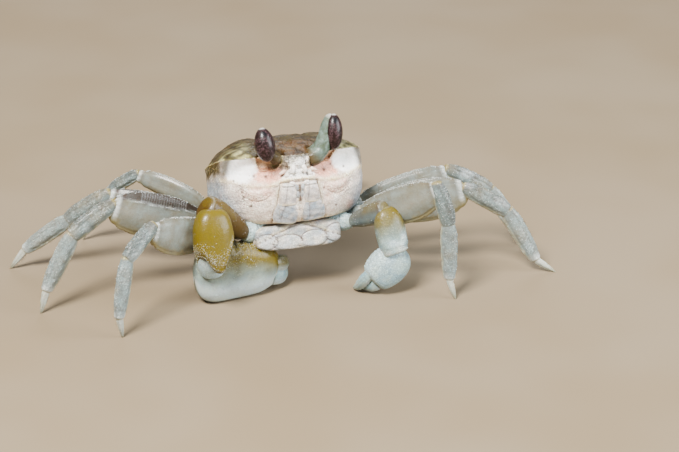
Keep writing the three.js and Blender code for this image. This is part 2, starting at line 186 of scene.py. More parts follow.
def through(values):
    """Quadratic in t that takes the start, middle and end values at t = 0, 1/2 and 1."""
    a, b, c = values
    return lambda t: a * (1 - t) * (1 - 2 * t) + 4 * b * t * (1 - t) + c * t * (2 * t - 1)


def step(low, high, x):
    """Smooth rise from 0 at low to 1 at high; low may be the larger, for a fall."""
    t = np.clip((x - low) / (high - low), 0, 1)
    return t * t * (3 - 2 * t)


def bell(x, half):
    """exp(-(x / half)^2), a bump of height one."""
    return np.exp(-((x / half) ** 2))


def power(v, n):
    """Power that keeps the sign."""
    return np.sign(v) * np.abs(v) ** n


def smooth_through(stations, t):
    """Catmull-Rom curve through evenly spaced stations, at t from 0 to 1."""
    s = np.asarray(stations, float)
    if s.ndim == 1:
        s = s[:, None]
    s = np.vstack([2 * s[0] - s[1], s, 2 * s[-1] - s[-2]])
    x = np.clip(t, 0, 1) * (len(s) - 3)
    i = np.minimum(x.astype(int), len(s) - 4)
    f = (x - i)[:, None]
    a, b, c, d = s[i], s[i + 1], s[i + 2], s[i + 3]
    out = 0.5 * (2 * b + (c - a) * f + (2 * a - 5 * b + 4 * c - d) * f ** 2
                 + (3 * b - 3 * c + d - a) * f ** 3)
    return out[:, 0] if out.shape[1] == 1 else out


def body_point(p):
    """Body axes to floor axes: turned about x by the tilt and lifted to the body's height."""
    p = np.asarray(p, float)
    c, s = math.cos(BODY_TILT), math.sin(BODY_TILT)
    x, y, z = p[..., 0], p[..., 1], p[..., 2]
    return np.stack([x, y * c + z * s, BODY_HEIGHT - y * s + z * c], axis=-1)


def body_dir(p):
    """A direction in body axes, in floor axes."""
    return body_point(p) - body_point((0, 0, 0))


def on_side(p, side):
    """A place given for the crab's left, mirrored when the side is right."""
    flip = np.array((1 if side == "left" else -1, 1, 1))
    return np.asarray(p, float) * flip


def ripple(points, size, seed, waves=7):
    """Uneven wash between about -1 and 1: a mean of sine waves in random directions."""
    rng = np.random.default_rng(seed)
    ways = unit(rng.normal(size=(waves, 3))) * (2 * math.pi / size) * rng.uniform(0.6, 1.5, (waves, 1))
    phase = rng.uniform(0, 2 * math.pi, waves)
    return np.sin(points @ ways.T + phase).sum(-1) / math.sqrt(waves)


# ---------------------------------------------------------------- grids and meshes
def normals(grid):
    """Outward directions of a grid closed round its columns: the cross of its two slopes."""
    along = np.gradient(grid, axis=0)
    around = np.roll(grid, -1, axis=1) - np.roll(grid, 1, axis=1)
    n = np.cross(around, along)
    outward = grid - grid.mean(axis=1, keepdims=True)
    return unit(n) * np.sign((n * outward).sum() or 1)


def closed(grid, marks):
    """A closed skin from a grid: quads between rows, a fan at each end, faces outward."""
    rows, cols = grid.shape[:2]
    inner = grid[1:-1].reshape(-1, 3)
    points = np.vstack([grid[0].mean(0), inner, grid[-1].mean(0)])
    i = np.arange(rows - 3)[:, None] * cols
    j = np.arange(cols)[None, :]
    k = (j + 1) % cols
    quads = np.stack([i + j, i + k, i + k + cols, i + j + cols], -1).reshape(-1, 4) + 1
    last = len(points) - 1
    base = 1 + (rows - 3) * cols
    fan = np.arange(cols)
    turn = (fan + 1) % cols
    tris = np.vstack([np.stack([np.zeros_like(fan), 1 + turn, 1 + fan], -1),
                      np.stack([np.full_like(fan, last), base + fan, base + turn], -1)])
    a, b, c, d = (points[quads[:, n]] for n in range(4))
    volume = ((a * np.cross(b, c)).sum() + (a * np.cross(c, d)).sum()
              + (points[tris[:, 0]] * np.cross(points[tris[:, 1]], points[tris[:, 2]])).sum())
    if volume < 0:
        quads, tris = quads[:, ::-1], tris[:, ::-1]
    flat = {}
    for key, value in marks.items():
        value = np.broadcast_to(value, (rows, cols))
        flat[key] = np.concatenate([[value[0].mean()], value[1:-1].ravel(), [value[-1].mean()]])
    return {"points": points, "quads": quads, "tris": tris, "marks": flat}


def end_rows(rows, near, far, reach):
    """Places of the rows along a closed form, so that the rounded ends, which close over `reach`
    by the powers near and far, are crossed in even steps of their radius."""
    count = rows // 7
    radius = np.linspace(0, 0.985, count)
    first, last = (reach * (1 - (1 - radius ** b) ** (1 / b)) for b in (near, far))
    middle = np.linspace(first[-1], 1 - last[-1], rows - 2 * count + 2)[1:-1]
    return np.concatenate([first, middle, 1 - last[::-1]])


def limb_grid(spec, rows, columns, push=None, pull=None):
    """A rounded segment: centre = start + axis t L + top lift(t), and half sizes
    deep(t), thick(t) times a close of (1 - |2t-1|^b)^(1/b), with b from `blunt` (one power, or one
    for each end), on a superellipse of power `square`.
    push(t, a) then moves each point along its outward direction, and pull(t, a) along the axis."""
    start, end = (np.asarray(spec[k], float) for k in ("start", "end"))
    axis = end - start
    length = np.linalg.norm(axis)
    axis = axis / length
    side = unit(np.cross(axis, spec["up"]))
    top = np.cross(side, axis)
    deep, thick, lift = (through(spec.get(k, (0, 0, 0))) for k in ("deep", "thick", "lift"))
    blunt, square = spec.get("blunt", 4), spec.get("square", 2.2)
    near, far = blunt if isinstance(blunt, tuple) else (blunt, blunt)
    t = end_rows(rows, near, far, 0.5)
    a = np.linspace(0, 2 * math.pi, columns, endpoint=False)
    t, a = np.meshgrid(t, a, indexing="ij")
    b = np.where(t < 0.5, near, far)
    close = np.maximum(0, 1 - np.abs(2 * t - 1) ** b) ** (1 / b)
    c = power(np.cos(a), 2 / square) * thick(t) * close
    s = power(np.sin(a), 2 / square) * deep(t) * close
    grid = (start + axis * (t * length)[..., None] + top * (lift(t) + s)[..., None]
            + side * c[..., None])
    if push is not None:
        grid = grid + normals(grid) * push(t, a)[..., None]
    if pull is not None:
        grid = grid + axis * pull(t, a)[..., None]
    return grid, t, a


def sweep_grid(path, deep, thick, up, rows, columns, square=2.2, blunt=(3, 3), push=None, reach=0.1):
    """A section carried along a smooth path: half sizes run through their stations, and the ends
    close as superellipse quarters of the given powers over a share `reach` of its length."""
    t = end_rows(rows, *blunt, reach)
    centre = smooth_through(path, t)
    axis = unit(np.gradient(centre, t, axis=0))
    side = unit(np.cross(axis, up))
    top = np.cross(side, axis)
    lead = 1 - np.clip(t / reach, 0, 1)
    tail = 1 - np.clip((1 - t) / reach, 0, 1)
    close = ((1 - lead ** blunt[0]) ** (1 / blunt[0])) * ((1 - tail ** blunt[1]) ** (1 / blunt[1]))
    high = smooth_through(deep, t) * close
    wide = smooth_through(thick, t) * close
    a = np.linspace(0, 2 * math.pi, columns, endpoint=False)
    c, s = power(np.cos(a), 2 / square), power(np.sin(a), 2 / square)
    grid = (centre[:, None] + side[:, None] * (wide[:, None] * c)[..., None]
            + top[:, None] * (high[:, None] * s)[..., None])
    t, a = np.meshgrid(t, a, indexing="ij")
    if push is not None:
        grid = grid + normals(grid) * push(t, a)[..., None]
    return grid, t, a


def scatter(grid, density, count, rng):
    """Places and outward directions on a grid, drawn with a chance that follows the density."""
    n = normals(grid)
    along = np.linalg.norm(np.gradient(grid, axis=0), axis=-1)
    around = np.linalg.norm(np.roll(grid, -1, axis=1) - grid, axis=-1)
    weight = np.maximum(density, 0) * along * around
    weight[[0, -1]] = 0
    chance = weight.ravel() / weight.sum()
    pick = rng.choice(chance.size, count, p=chance)
    i, j = np.unravel_index(pick, weight.shape)
    ahead = grid[np.minimum(i + 1, grid.shape[0] - 1), j] - grid[i, j]
    beside = grid[i, (j + 1) % grid.shape[1]] - grid[i, j]
    shift = rng.uniform(-0.5, 0.5, (2, count, 1))
    return grid[i, j] + ahead * shift[0] + beside * shift[1], n[i, j], (i, j)


def beads(places, outward, radius, marks, squat=0.8):
    """Small domes: two rings of six round each place and a tip, radius r and height squat r."""
    count = len(places)
    radius = np.broadcast_to(radius, (count,))
    side = unit(np.cross(outward, (0.31, 0.52, 0.79)))
    other = np.cross(outward, side)
    a = np.linspace(0, 2 * math.pi, 6, endpoint=False)
    ring = side[:, None] * np.cos(a)[None, :, None] + other[:, None] * np.sin(a)[None, :, None]
    r = radius[:, None, None]
    up = outward[:, None]
    low = places[:, None] + ring * r - up * 0.35 * r
    mid = places[:, None] + ring * r * 0.78 + up * 0.5 * squat * r
    tip = places[:, None] + up * squat * r
    foot = places[:, None] - up * 0.5 * r
    points = np.concatenate([foot, low, mid, tip], axis=1).reshape(-1, 3)
    j = np.arange(6)
    k = (j + 1) % 6
    quads = np.stack([1 + j, 1 + k, 7 + k, 7 + j], -1)
    tris = np.vstack([np.stack([0 * j, 1 + k, 1 + j], -1), np.stack([0 * j + 13, 7 + j, 7 + k], -1)])
    base = (np.arange(count) * 14)[:, None, None]
    flat = {key: np.repeat(np.broadcast_to(v, (count,)), 14) for key, v in marks.items()}
    return {"points": points, "quads": (quads[None] + base).reshape(-1, 4),
            "tris": (tris[None] + base).reshape(-1, 3), "marks": flat}


def granules(grid, marks, density, count, sizes, rng, **least):
    """Beads strewn over a grid by a density, with radii between two sizes. Each is coloured as the
    skin under it, with the named marks raised to a least tone or to one drawn between two."""
    places, out, (i, j) = scatter(grid, density, count, rng)
    kept = {key: np.broadcast_to(v, grid.shape[:2])[i, j] for key, v in marks.items()}
    for key, tone in least.items():
        tone = rng.uniform(*tone, count) if isinstance(tone, tuple) else tone
        kept[key] = np.maximum(kept[key], tone)
    return beads(places, out, rng.uniform(*sizes, count), kept)


def above_floor(grid, least=0.0):
    """The grid with no point lower than `least`."""
    grid[..., 2] = np.maximum(grid[..., 2], least)
    return grid


def build_mesh(name, parts):
    """One mesh from several skins, with every mark kept as a number on its points."""
    keys = sorted({k for part in parts for k in part["marks"]})
    offset = np.cumsum([0] + [len(part["points"]) for part in parts])
    points = (np.vstack([part["points"] for part in parts]) - MIDDLE) * MM
    points[:, 2] = np.maximum(points[:, 2], 0)
    quads = np.vstack([part["quads"] + o for part, o in zip(parts, offset)])
    tris = np.vstack([part["tris"] + o for part, o in zip(parts, offset)])
    mesh = bpy.data.meshes.new(name)
    mesh.vertices.add(len(points))
    mesh.vertices.foreach_set("co", points.astype(np.float32).ravel())
    mesh.loops.add(quads.size + tris.size)
    mesh.loops.foreach_set("vertex_index", np.concatenate([quads.ravel(), tris.ravel()]).astype(np.int32))
    mesh.polygons.add(len(quads) + len(tris))
    starts = np.concatenate([np.arange(len(quads)) * 4, quads.size + np.arange(len(tris)) * 3])
    mesh.polygons.foreach_set("loop_start", starts.astype(np.int32))
    mesh.update(calc_edges=True)
    mesh.shade_smooth()
    for key in keys:
        values = np.concatenate([part["marks"].get(key, np.zeros(len(part["points"])))
                                 for part in parts])
        layer = mesh.attributes.new(key, "FLOAT", "POINT")
        layer.data.foreach_set("value", values.astype(np.float32))
    if mesh.validate():
        raise ValueError(f"{name} has faces that don't hold together")
    return mesh


def add_piece(name, parts, material, nodes=()):
    """Puts a piece in the scene, riding on the one body, in place of its CAD nodes."""
    obj = bpy.data.objects.new(name, build_mesh(name, parts))
    bpy.context.scene.collection.objects.link(obj)
    obj.data.materials.append(material)
    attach(obj, "root")
    if nodes:
        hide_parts(*nodes)
    return obj


# ---------------------------------------------------------------- materials
class Number:
    """A number in a material. An expression on Numbers adds the Math nodes that it says."""

    def __init__(self, finish, socket):
        self.finish = finish
        self.socket = socket

    def math(self, operation, *values, clamp=False):
        made = self.finish.node("ShaderNodeMath", {"operation": operation, "use_clamp": clamp},
                                dict(enumerate(values)))
        return Number(self.finish, made.outputs[0])

    def __add__(self, other):
        return self.math("ADD", self, other)

    __radd__ = __add__

    def __sub__(self, other):
        return self.math("SUBTRACT", self, other)

    def __rsub__(self, other):
        return self.math("SUBTRACT", other, self)

    def __mul__(self, other):
        return self.math("MULTIPLY", self, other)

    __rmul__ = __mul__

    def clamp(self):
        return self.math("ADD", self, 0.0, clamp=True)

    def rise(self, low, high):
        """Smooth step from 0 at low to 1 at high; low may be the larger."""
        ends = (low, high, 0.0, 1.0) if low < high else (high, low, 1.0, 0.0)
        made = self.finish.node("ShaderNodeMapRange", {"interpolation_type": "SMOOTHSTEP"},
                                {0: self, 1: ends[0], 2: ends[1], 3: ends[2], 4: ends[3]})
        return Number(self.finish, made.outputs[0])


class Finish:
    """A material built by expressions. Every node comes from `node`."""

    def __init__(self, name):
        self.material = bpy.data.materials.new(name)
        self.material.use_nodes = True
        self.tree = self.material.node_tree
        self.tree.nodes.clear()
        self.place = self.node("ShaderNodeTexCoord").outputs["Object"]

    def node(self, kind, settings=None, inputs=None):
        made = self.tree.nodes.new(kind)
        for key, value in (settings or {}).items():
            setattr(made, key, value)
        for key, value in (inputs or {}).items():
            value = value.socket if isinstance(value, Number) else value
            if isinstance(value, bpy.types.NodeSocket):
                self.tree.links.new(value, made.inputs[key])
            else:
                made.inputs[key].default_value = value
        return made

    def mark(self, name):
        made = self.node("ShaderNodeAttribute", {"attribute_name": name})
        return Number(self, made.outputs["Fac"])

    def noise(self, size, detail=3.0, warp=0.0, shift=(0, 0, 0)):
        """Cloudy noise whose lumps are about `size` millimetres, between 0 and 1."""
        moved = self.node("ShaderNodeMapping", None, {"Vector": self.place, "Location": shift})
        made = self.node("ShaderNodeTexNoise", None,
                         {"Vector": moved.outputs[0], "Scale": 1 / (size * MM), "Detail": detail,
                          "Roughness": 0.55, "Distortion": warp})
        return Number(self, made.outputs["Fac"])

    def cells(self, size):
        """Distance to the nearest of scattered points about `size` millimetres apart."""
        made = self.node("ShaderNodeTexVoronoi", None, {"Vector": self.place, "Scale": 1 / (size * MM)})
        return Number(self, made.outputs["Distance"])

    def toss(self, size):
        """A random number for each scattered cell about `size` millimetres across."""
        made = self.node("ShaderNodeTexVoronoi", None, {"Vector": self.place, "Scale": 1 / (size * MM)})
        return Number(self, made.outputs["Color"])

    def blend(self, amount, first, second, mode="MIX"):
        """Colour between two colours."""
        first, second = (c if isinstance(c, bpy.types.NodeSocket) else (*c[:3], 1) for c in (first, second))
        made = self.node("ShaderNodeMix", {"data_type": "RGBA", "blend_type": mode},
                         {0: amount, 6: first, 7: second})
        return made.outputs[2]

    def bump(self, height, reach, strength=1.0, under=None):
        """A bump `reach` millimetres high, on top of another."""
        inputs = {"Height": height, "Distance": reach * MM, "Strength": strength}
        if under is not None:
            inputs["Normal"] = under
        return self.node("ShaderNodeBump", None, inputs).outputs[0]

    def close(self, colour, rough, normal, **uniform):
        """The surface shader: what varies is linked, and what is uniform is set on its sockets."""
        inputs = {"Base Color": colour, "Roughness": rough, "Normal": normal}
        inputs.update({key.replace("_", " ").title(): value for key, value in uniform.items()})
        inputs = {key.replace("Ior", "IOR"): value for key, value in inputs.items()}
        shader = self.node("ShaderNodeBsdfPrincipled", None, inputs)
        self.node("ShaderNodeOutputMaterial", None, {"Surface": shader.outputs[0]})
        return self.material


def shell_finish(name, base, shade, layers, speck=0.5, grain=0.03, wet=0.4, glow=0.05, mottle=2.4,
                 salt=0.35, shine=0.22, grain_and_glint=(0.5, 0.5, 0.47), pit=(0.05, 0.045, 0.035)):
    """Crab shell: cloudy base, painted layers, dark grains, pale grains that are partly painted glints,
    a granular bump and a soft wet coat. Each layer is (mark, colour, strength), laid over what is under it."""
    f = Finish(name)
    cloud = f.noise(mottle, detail=5.0, warp=0.4)
    fine = f.noise(0.5, detail=3.0, shift=(0.3, 0.1, 0.2))
    veins = f.noise(1.3, detail=6.0, warp=1.2, shift=(0.7, 0.2, 0.9))
    colour = f.blend(cloud.rise(0.32, 0.68), base, shade)
    for mark, tint, strength in layers:
        edge = (f.mark(mark) * strength + (cloud - 0.5) * 0.3 * f.mark(mark).rise(0.02, 0.3)).clamp()
        colour = f.blend(edge, colour, tint)
    colour = f.blend(veins.rise(0.5, 0.75) * 0.2, colour, pit)
    light = f.blend(1.0, colour, (0.3, 0.3, 0.28), mode="DODGE")
    colour = f.blend(veins.rise(0.42, 0.25) * 0.4, colour, light)
    granular = f.mark("granular")
    grains = f.cells(0.42)
    toss = f.toss(0.24)
    colour = f.blend(toss.rise(0.45, 0.15) * (granular * salt + 0.04), colour, pit)
    # Pale grains: partly white granules, partly painted glints that stand for the sparkle of the wet shell
    bright = f.blend(1.0, colour, grain_and_glint, mode="DODGE")
    colour = f.blend(toss.rise(0.6, 0.8) * (granular * salt * 1.6 + 0.05), colour, bright)
    dots = f.cells(0.9).rise(0.14, 0.07) * f.noise(1.7, shift=(0.5, 0.5, 0)).rise(0.48, 0.6)
    colour = f.blend(dots * speck, colour, (0.04, 0.022, 0.012))
    colour = f.blend(f.mark("dark").clamp(), colour, (0.05, 0.022, 0.012))
    rough = (0.24 + fine * 0.25 + granular * 0.12).clamp()
    low = f.bump(cloud, 0.25, 0.35)
    mid = f.bump(grains.rise(0.6, 0.0) * (0.25 + granular), grain * 2.5, 0.9, low)
    top = f.bump(fine, grain, 0.6, mid)
    return f.close(colour, rough, top, coat_weight=wet, coat_roughness=0.14,
                   subsurface_weight=glow, subsurface_scale=0.001, ior=1.5,
                   specular_ior_level=shine)


def face_edge(x):
    """Height of the brow above the eye hollow: high outside, dipping under the eye, a little
    higher on the left side, and rising again toward the beak."""
    left = 0.9 * step(0, 3, x)
    return 4.9 + left + 1.4 * step(5.4, 3.4, np.abs(x)) + (3.6 - left) * step(8.2, 10.4, np.abs(x))


def plate_edge(z):
    """Distance from the middle to the outer edge of the mouth plates at a height z."""
    return 4.75 - 0.2 * z


def lens_finish(look):
    """Eye surface: dark brown, finely faceted, paler where the light comes back, with a painted dark
    pseudopupil, under a clear coat.
    """
    f = Finish("eye_lens")
    cloud = f.noise(0.9, detail=4.0)
    facets = f.toss(0.24)
    colour = f.blend(cloud.rise(0.3, 0.7), look.dark, look.warm)
    colour = f.blend(facets.rise(0.5, 0.9) * 0.8, colour, look.facet)
    colour = f.blend((f.mark("cap") * 0.85).clamp(), colour, look.cap)
    # painted pseudopupil: a dark spot where the facets face the camera
    colour = f.blend(f.mark("pupil").clamp(), colour, (0.002, 0.002, 0.003))
    normal = f.bump(f.cells(0.2), 0.02, 0.6)
    return f.close(colour, 0.3 + 0.2 * cloud, normal, coat_weight=0.15, coat_roughness=0.08,
                   specular_ior_level=0.2, ior=1.45)


def bristle_finish(look):
    """Bristles: pale straw, darker toward some roots."""
    f = Finish("bristle_straw")
    colour = f.blend(f.noise(1.1).rise(0.35, 0.65), look.bristle, look.bristle_dark)
    return f.close(colour, 0.5 + 0.1 * f.noise(0.4), f.bump(f.noise(0.2), 0.01, 0.4), ior=1.45)


def floor_finish(look):
    """Plain pale matt floor with a faint unevenness."""
    f = Finish("floor_plain")
    cloud = f.noise(60.0, detail=2.0)
    colour = f.blend(cloud.rise(0.3, 0.7) * 0.05, look.floor, (0.5, 0.48, 0.45))
    return f.close(colour, 0.75 + 0.1 * cloud, f.bump(f.noise(3.0), 0.05, 0.1))


# ---------------------------------------------------------------- settings a user may change
def colour_prop(name, about, default):
    """A colour setting; the default is given as the eye sees it, 0 to 255."""
    seen = np.array(default) / 255
    light = np.where(seen <= 0.04045, seen / 12.92, ((seen + 0.055) / 1.055) ** 2.4)
    return bpy.props.FloatVectorProperty(name=name, description=about, subtype="COLOR", size=3,
                                         min=0, max=1, default=tuple(light))


class CrabShellLook(bpy.types.PropertyGroup):
    """Colours of the back shell, face and underside."""

    olive: colour_prop("Back", "Ground colour of the back", (52, 42, 12))
    umber: colour_prop("Back mottling", "Darker patches on the back", (28, 18, 4))
    # Back highlights: pale olive patches that are partly a painted highlight on the front shoulders of the
    # back and on the brow
    pale: colour_prop("Back highlights", "Pale olive patches near the eye hollows", (168, 162, 110))
    ochre: colour_prop("Brow", "Yellow-brown middle between the eyes", (70, 42, 8))
    face: colour_prop("Face", "Pale ground of the face", (222, 207, 192))
    face_shade: colour_prop("Face shade", "Second ground of the face", (200, 180, 164))
    white: colour_prop("Orbit", "Bright outer part of the eye hollow", (254, 253, 249))
    pink: colour_prop("Flush", "Pink of the inner eye hollow", (222, 156, 132))
    cream: colour_prop("Ridge", "Cream line under the eye hollow", (230, 206, 144))
    # Flank: the cool colour of the sides, also used for a painted blue-white sheen on the lower outer
    # corners of the face
    blue: colour_prop("Flank", "Cool sides of the body", (122, 132, 140))
    rust: colour_prop("Socket rim", "Brown-pink rim under the stalk", (130, 74, 50))
    under: colour_prop("Underside", "Breastplate and tail flap", (150, 154, 140))


class CrabLimbLook(bpy.types.PropertyGroup):
    """Colours of the legs and claws."""

    glass: colour_prop("Leg", "Translucent blue-grey of the legs", (106, 122, 122))
    smoke: colour_prop("Leg shade", "Greyer patches of the legs", (84, 93, 90))
    crest: colour_prop("Crest", "Grey-brown band along the top of a leg", (40, 32, 24))
    white: colour_prop("White bands", "Bands at the knees, and granules", (222, 228, 226))
    straw: colour_prop("Lower edges", "Cream lower edges", (150, 140, 92))
    gold: colour_prop("Joint skin", "Yellowish skin at the joints", (134, 116, 52))
    horn: colour_prop("Toes", "Brownish patches and tips", (112, 98, 68))
    ochre: colour_prop("Claw yellow", "Ochre of the large claw and the wrists", (86, 73, 4))
    amber: colour_prop("Arm brown", "Amber-brown of the arms", (58, 41, 3))
    palm: colour_prop("Palm", "Blue-white of the palms", (138, 160, 156))
    palm_blue: colour_prop("Palm shade", "Bluer patches of the palms", (110, 140, 150))


class CrabEyeLook(bpy.types.PropertyGroup):
    """Colours of the eyes and bristles."""

    dark: colour_prop("Lens", "Dark brown of the lens", (16, 8, 7))
    warm: colour_prop("Lens warm", "Warmer patches of the lens", (30, 17, 15))
    facet: colour_prop("Facets", "Light between the facets", (78, 56, 60))
    cap: colour_prop("Cap", "Pale cap at the tip", (176, 172, 164))
    stalk: colour_prop("Stalk", "Green-grey of the stalks", (64, 74, 58))
    stalk_foot: colour_prop("Stalk foot", "Olive-brown foot of the stalks", (66, 50, 24))
    stalk_blue: colour_prop("Stalk shade", "Bluer shade of the stalks", (92, 108, 100))
    bristle: colour_prop("Bristle", "Straw colour of the bristles", (172, 152, 104))
    bristle_dark: colour_prop("Bristle root", "Darker bristles", (84, 64, 38))


class CrabStageLook(bpy.types.PropertyGroup):
    """Floor and light."""

    floor: colour_prop("Floor", "Plain pale floor", (112, 96, 70))
    key: bpy.props.FloatProperty(name="Key light", description="Strength of the main soft light",
                                 default=24.0, min=0, unit="POWER")
    fill: bpy.props.FloatProperty(name="Fill light", description="Strength of the second light",
                                  default=8.0, min=0, unit="POWER")
    room: bpy.props.FloatProperty(name="Room light", description="Even light from all round",
                                  default=0.25, min=0)


# ---------------------------------------------------------------- back shell and face
def outline_curve(count_front, count_rear):
    """The shell seen from above: a closed centripetal Catmull-Rom curve through the outline and
    its mirror, sampled evenly by length, closer together in the front half."""
    left = OUTLINE
    ring = np.vstack([left, left[1:-1][::-1] * (-1, 1)])
    p = np.vstack([ring[-1], ring, ring[:2]])
    knots = np.concatenate([[0], np.cumsum(np.linalg.norm(np.diff(p, axis=0), axis=1) ** 0.5)])
    pieces = []
    for i in range(1, len(p) - 2):
        t = np.linspace(knots[i], knots[i + 1], 80, endpoint=False)[:, None]
        t0, t1, t2, t3 = knots[i - 1:i + 3]
        a1 = (t1 - t) / (t1 - t0) * p[i - 1] + (t - t0) / (t1 - t0) * p[i]
        a2 = (t2 - t) / (t2 - t1) * p[i] + (t - t1) / (t2 - t1) * p[i + 1]
        a3 = (t3 - t) / (t3 - t2) * p[i + 1] + (t - t2) / (t3 - t2) * p[i + 2]
        b1 = (t2 - t) / (t2 - t0) * a1 + (t - t0) / (t2 - t0) * a2
        b2 = (t3 - t) / (t3 - t1) * a2 + (t - t1) / (t3 - t1) * a3
        pieces.append((t2 - t) / (t2 - t1) * b1 + (t - t1) / (t2 - t1) * b2)
    dense = np.vstack(pieces)
    dense = np.vstack([dense, dense[:1]])
    run = np.concatenate([[0], np.cumsum(np.linalg.norm(np.diff(dense, axis=0), axis=1))])
    turn = run / run[-1]
    front = 0.26                              # share of the outline each side that is front
    share = np.concatenate([np.linspace(0, front, count_front, endpoint=False),
                            np.linspace(front, 1 - front, count_rear, endpoint=False),
                            np.linspace(1 - front, 1, count_front, endpoint=False)])
    return np.stack([np.interp(share, turn, dense[:, n]) for n in (0, 1)], -1)


def rim_height(y):
    """Height of the shell edge: from front to rear as a smooth fall."""
    return RIM_FRONT + (RIM_REAR - RIM_FRONT) * step(-15, 20, y) / 0.95


def dome_height(y):
    """Height of the middle of the back."""
    return DOME + (DOME_REAR - DOME) * step(2, 17, y)


def under_height(y):
    """Height of the underside of the shell."""
    return UNDER + UNDER_RISE * step(2, 16, y)


def ridge_height(x):
    """Height of the ridge below the eye hollow at a distance x from the middle."""
    return 1.35 + 0.9 * bell(x - 3.2, 2.4) + 1.5 * step(10.5, 16.5, x)


def bulge_floor(x):
    """Height of the lower groove of the cheek at a distance x from the middle."""
    return -2.3 + 0.155 * (x - 9.9) ** 2


def dotted_line(z):
    """Distance from the middle to the dotted line outside the cheek at a height z."""
    return 13.28 + 0.16 * z


def oval(x, z, middle, half):
    """How far points lie from the middle of an oval, 1 on its edge."""
    return np.hypot((x - middle[0]) / half[0], (z - middle[1]) / half[1])


def face_relief(x, z):
    """Push backward on the face: a socket behind each stalk above a dipping rim, eye hollows below
    the rim, a ridge below each, a swollen cheek bounded by a groove, a beak between the stalks and
    a groove round the mouth plates."""
    ax = np.abs(x)
    far = oval(ax, z, (ORBIT["x"], ORBIT["z"]), (ORBIT["half_width"], ORBIT["half_height"]))
    hollow = ORBIT["depth"] * np.exp(-np.maximum(far, 0) ** 4) * (0.75 + 0.25 * step(13.5, 8.0, ax))
    hollow += 0.4 * bell(ax - 13.0, 2.6) * bell(z - 5.6, 1.8)
    above = z - face_edge(x)
    socket = 0.45 * step(-0.15, 0.9, above) * step(2.6, 3.9, ax) * step(10.2, 8.6, ax)
    brow = -0.45 * bell(above, 0.33) * step(3.0, 4.2, ax) * step(17.5, 16.5, ax)
    ridge = -(0.26 - 0.1 * step(11, 13.5, ax)) * bell(z - ridge_height(ax), 0.5)
    ridge = ridge * step(2.2, 3.6, ax) * step(17, 15.5, ax)
    below = 0.05 * bell(z - ridge_height(ax) + 0.85, 0.4) * step(3.4, 5, ax) * step(12, 11, ax)
    inside = (step(bulge_floor(ax), bulge_floor(ax) + 2.2, z)
              * step(ridge_height(ax) - 0.2, ridge_height(ax) - 1.3, z))
    cheek = -0.42 * inside * step(4.9, 7.4, ax) * step(14.4, 11.2, ax)
    groove = 0.2 * bell(z - bulge_floor(ax), 0.13) * step(5.8, 7.2, ax) * step(13.6, 11.8, ax)
    fold = 0.05 * bell(z - bulge_floor(ax) - 0.9, 0.15) * step(7.0, 8.4, ax) * step(13.0, 11.4, ax)
    side_line = 0.2 * bell(ax - dotted_line(z), 0.25) * step(-3.6, -2.4, z) * step(2.6, 1.4, z)
    beak = -1.1 * bell(ax, 1.5) * step(4.6, 6.6, z) - 0.5 * bell(ax - 2.6, 0.5) * bell(z - 6.6, 0.9)
    beak = beak + 0.7 * bell(ax - 1.95, 0.35) * step(4.4, 5.4, z) * step(8.6, 7.6, z)
    frame = 0.55 * bell(ax - plate_edge(z) - 0.15, 0.3) * step(-9.0, -7.4, z) * step(2.2, 1.2, z)
    frame += 0.45 * bell(z - 1.75, 0.3) * step(5.2, 4.4, ax)
    lip = -0.45 * bell(z - 2.6, 0.4) * step(4.4, 3.4, ax)
    lumps = -0.45 * (bell(np.hypot(ax - 3.3, z - 4.2), 0.6) + bell(np.hypot(ax - 1.0, z - 4.4), 0.5)
                     + bell(np.hypot(ax - 2.2, z - 5.3), 0.45))
    pits = 0.5 * bell(np.hypot((ax - 1.7) / 1.5, z - 3.7), 0.3)
    return (hollow + socket + brow + ridge + below + cheek + groove + fold + side_line + beak + frame
            + lip + lumps + pits)


def back_relief(x, y):
    """Height added to the back: swollen regions either side, the grooves that part them, and the
    shallow hollow behind the brow."""
    ax = np.abs(x)
    branchial = 0.55 * bell(ax - 10.5, 4.5) * bell(y - 3.0, 7.0)
    gastric = 0.35 * bell(ax - 3.2, 2.6) * bell(y + 5.0, 4.0)
    cardiac = 0.3 * bell(ax, 3.2) * bell(y - 6.5, 3.6)
    groove = -0.42 * bell(ax - 5.4 - 0.18 * np.abs(y - 1.5), 0.75) * bell(y - 1.5, 5.0)
    across = -0.3 * bell(y - 1.6, 0.7) * bell(ax, 5.0)
    middle = -0.18 * bell(ax, 0.5) * step(-3, -7, y)
    return branchial + gastric + cardiac + groove + across + middle


FRECKLES = np.array([          # x, z and size of the larger dark spots of the face, body axes
    (-10.0, 3.6, 0.26), (-7.4, 3.4, 0.34), (-11.3, -3.3, 0.30), (-12.9, -1.0, 0.20),
    (6.9, 3.6, 0.34), (8.8, 4.6, 0.22), (6.1, -0.4, 0.24), (5.9, -4.6, 0.24), (9.3, -5.2, 0.24),
    (-1.2, 4.3, 0.22), (1.0, 3.9, 0.22), (2.2, 3.3, 0.24), (-3.9, 3.5, 0.2), (4.4, 1.0, 0.3),
    (-6.2, -5.9, 0.26), (12.2, 3.6, 0.2), (-14.8, 2.9, 0.2), (3.4, 4.9, 0.2), (-2.6, 5.6, 0.22),
])


def shell_rings():
    """Rows of the shell from the middle of the underside out, up the face and flank, over the edge
    and in to the middle of the back: the kind of each row and how far along its kind it lies."""
    under = [("under", s) for s in np.linspace(0, 0.70, 9)]
    flank = [("flank", t) for t in np.linspace(0.03, 1, 128)]
    back = [("back", s) for s in np.concatenate([[0.992], np.linspace(0.98, 0, 56)])]
    return under + flank + back


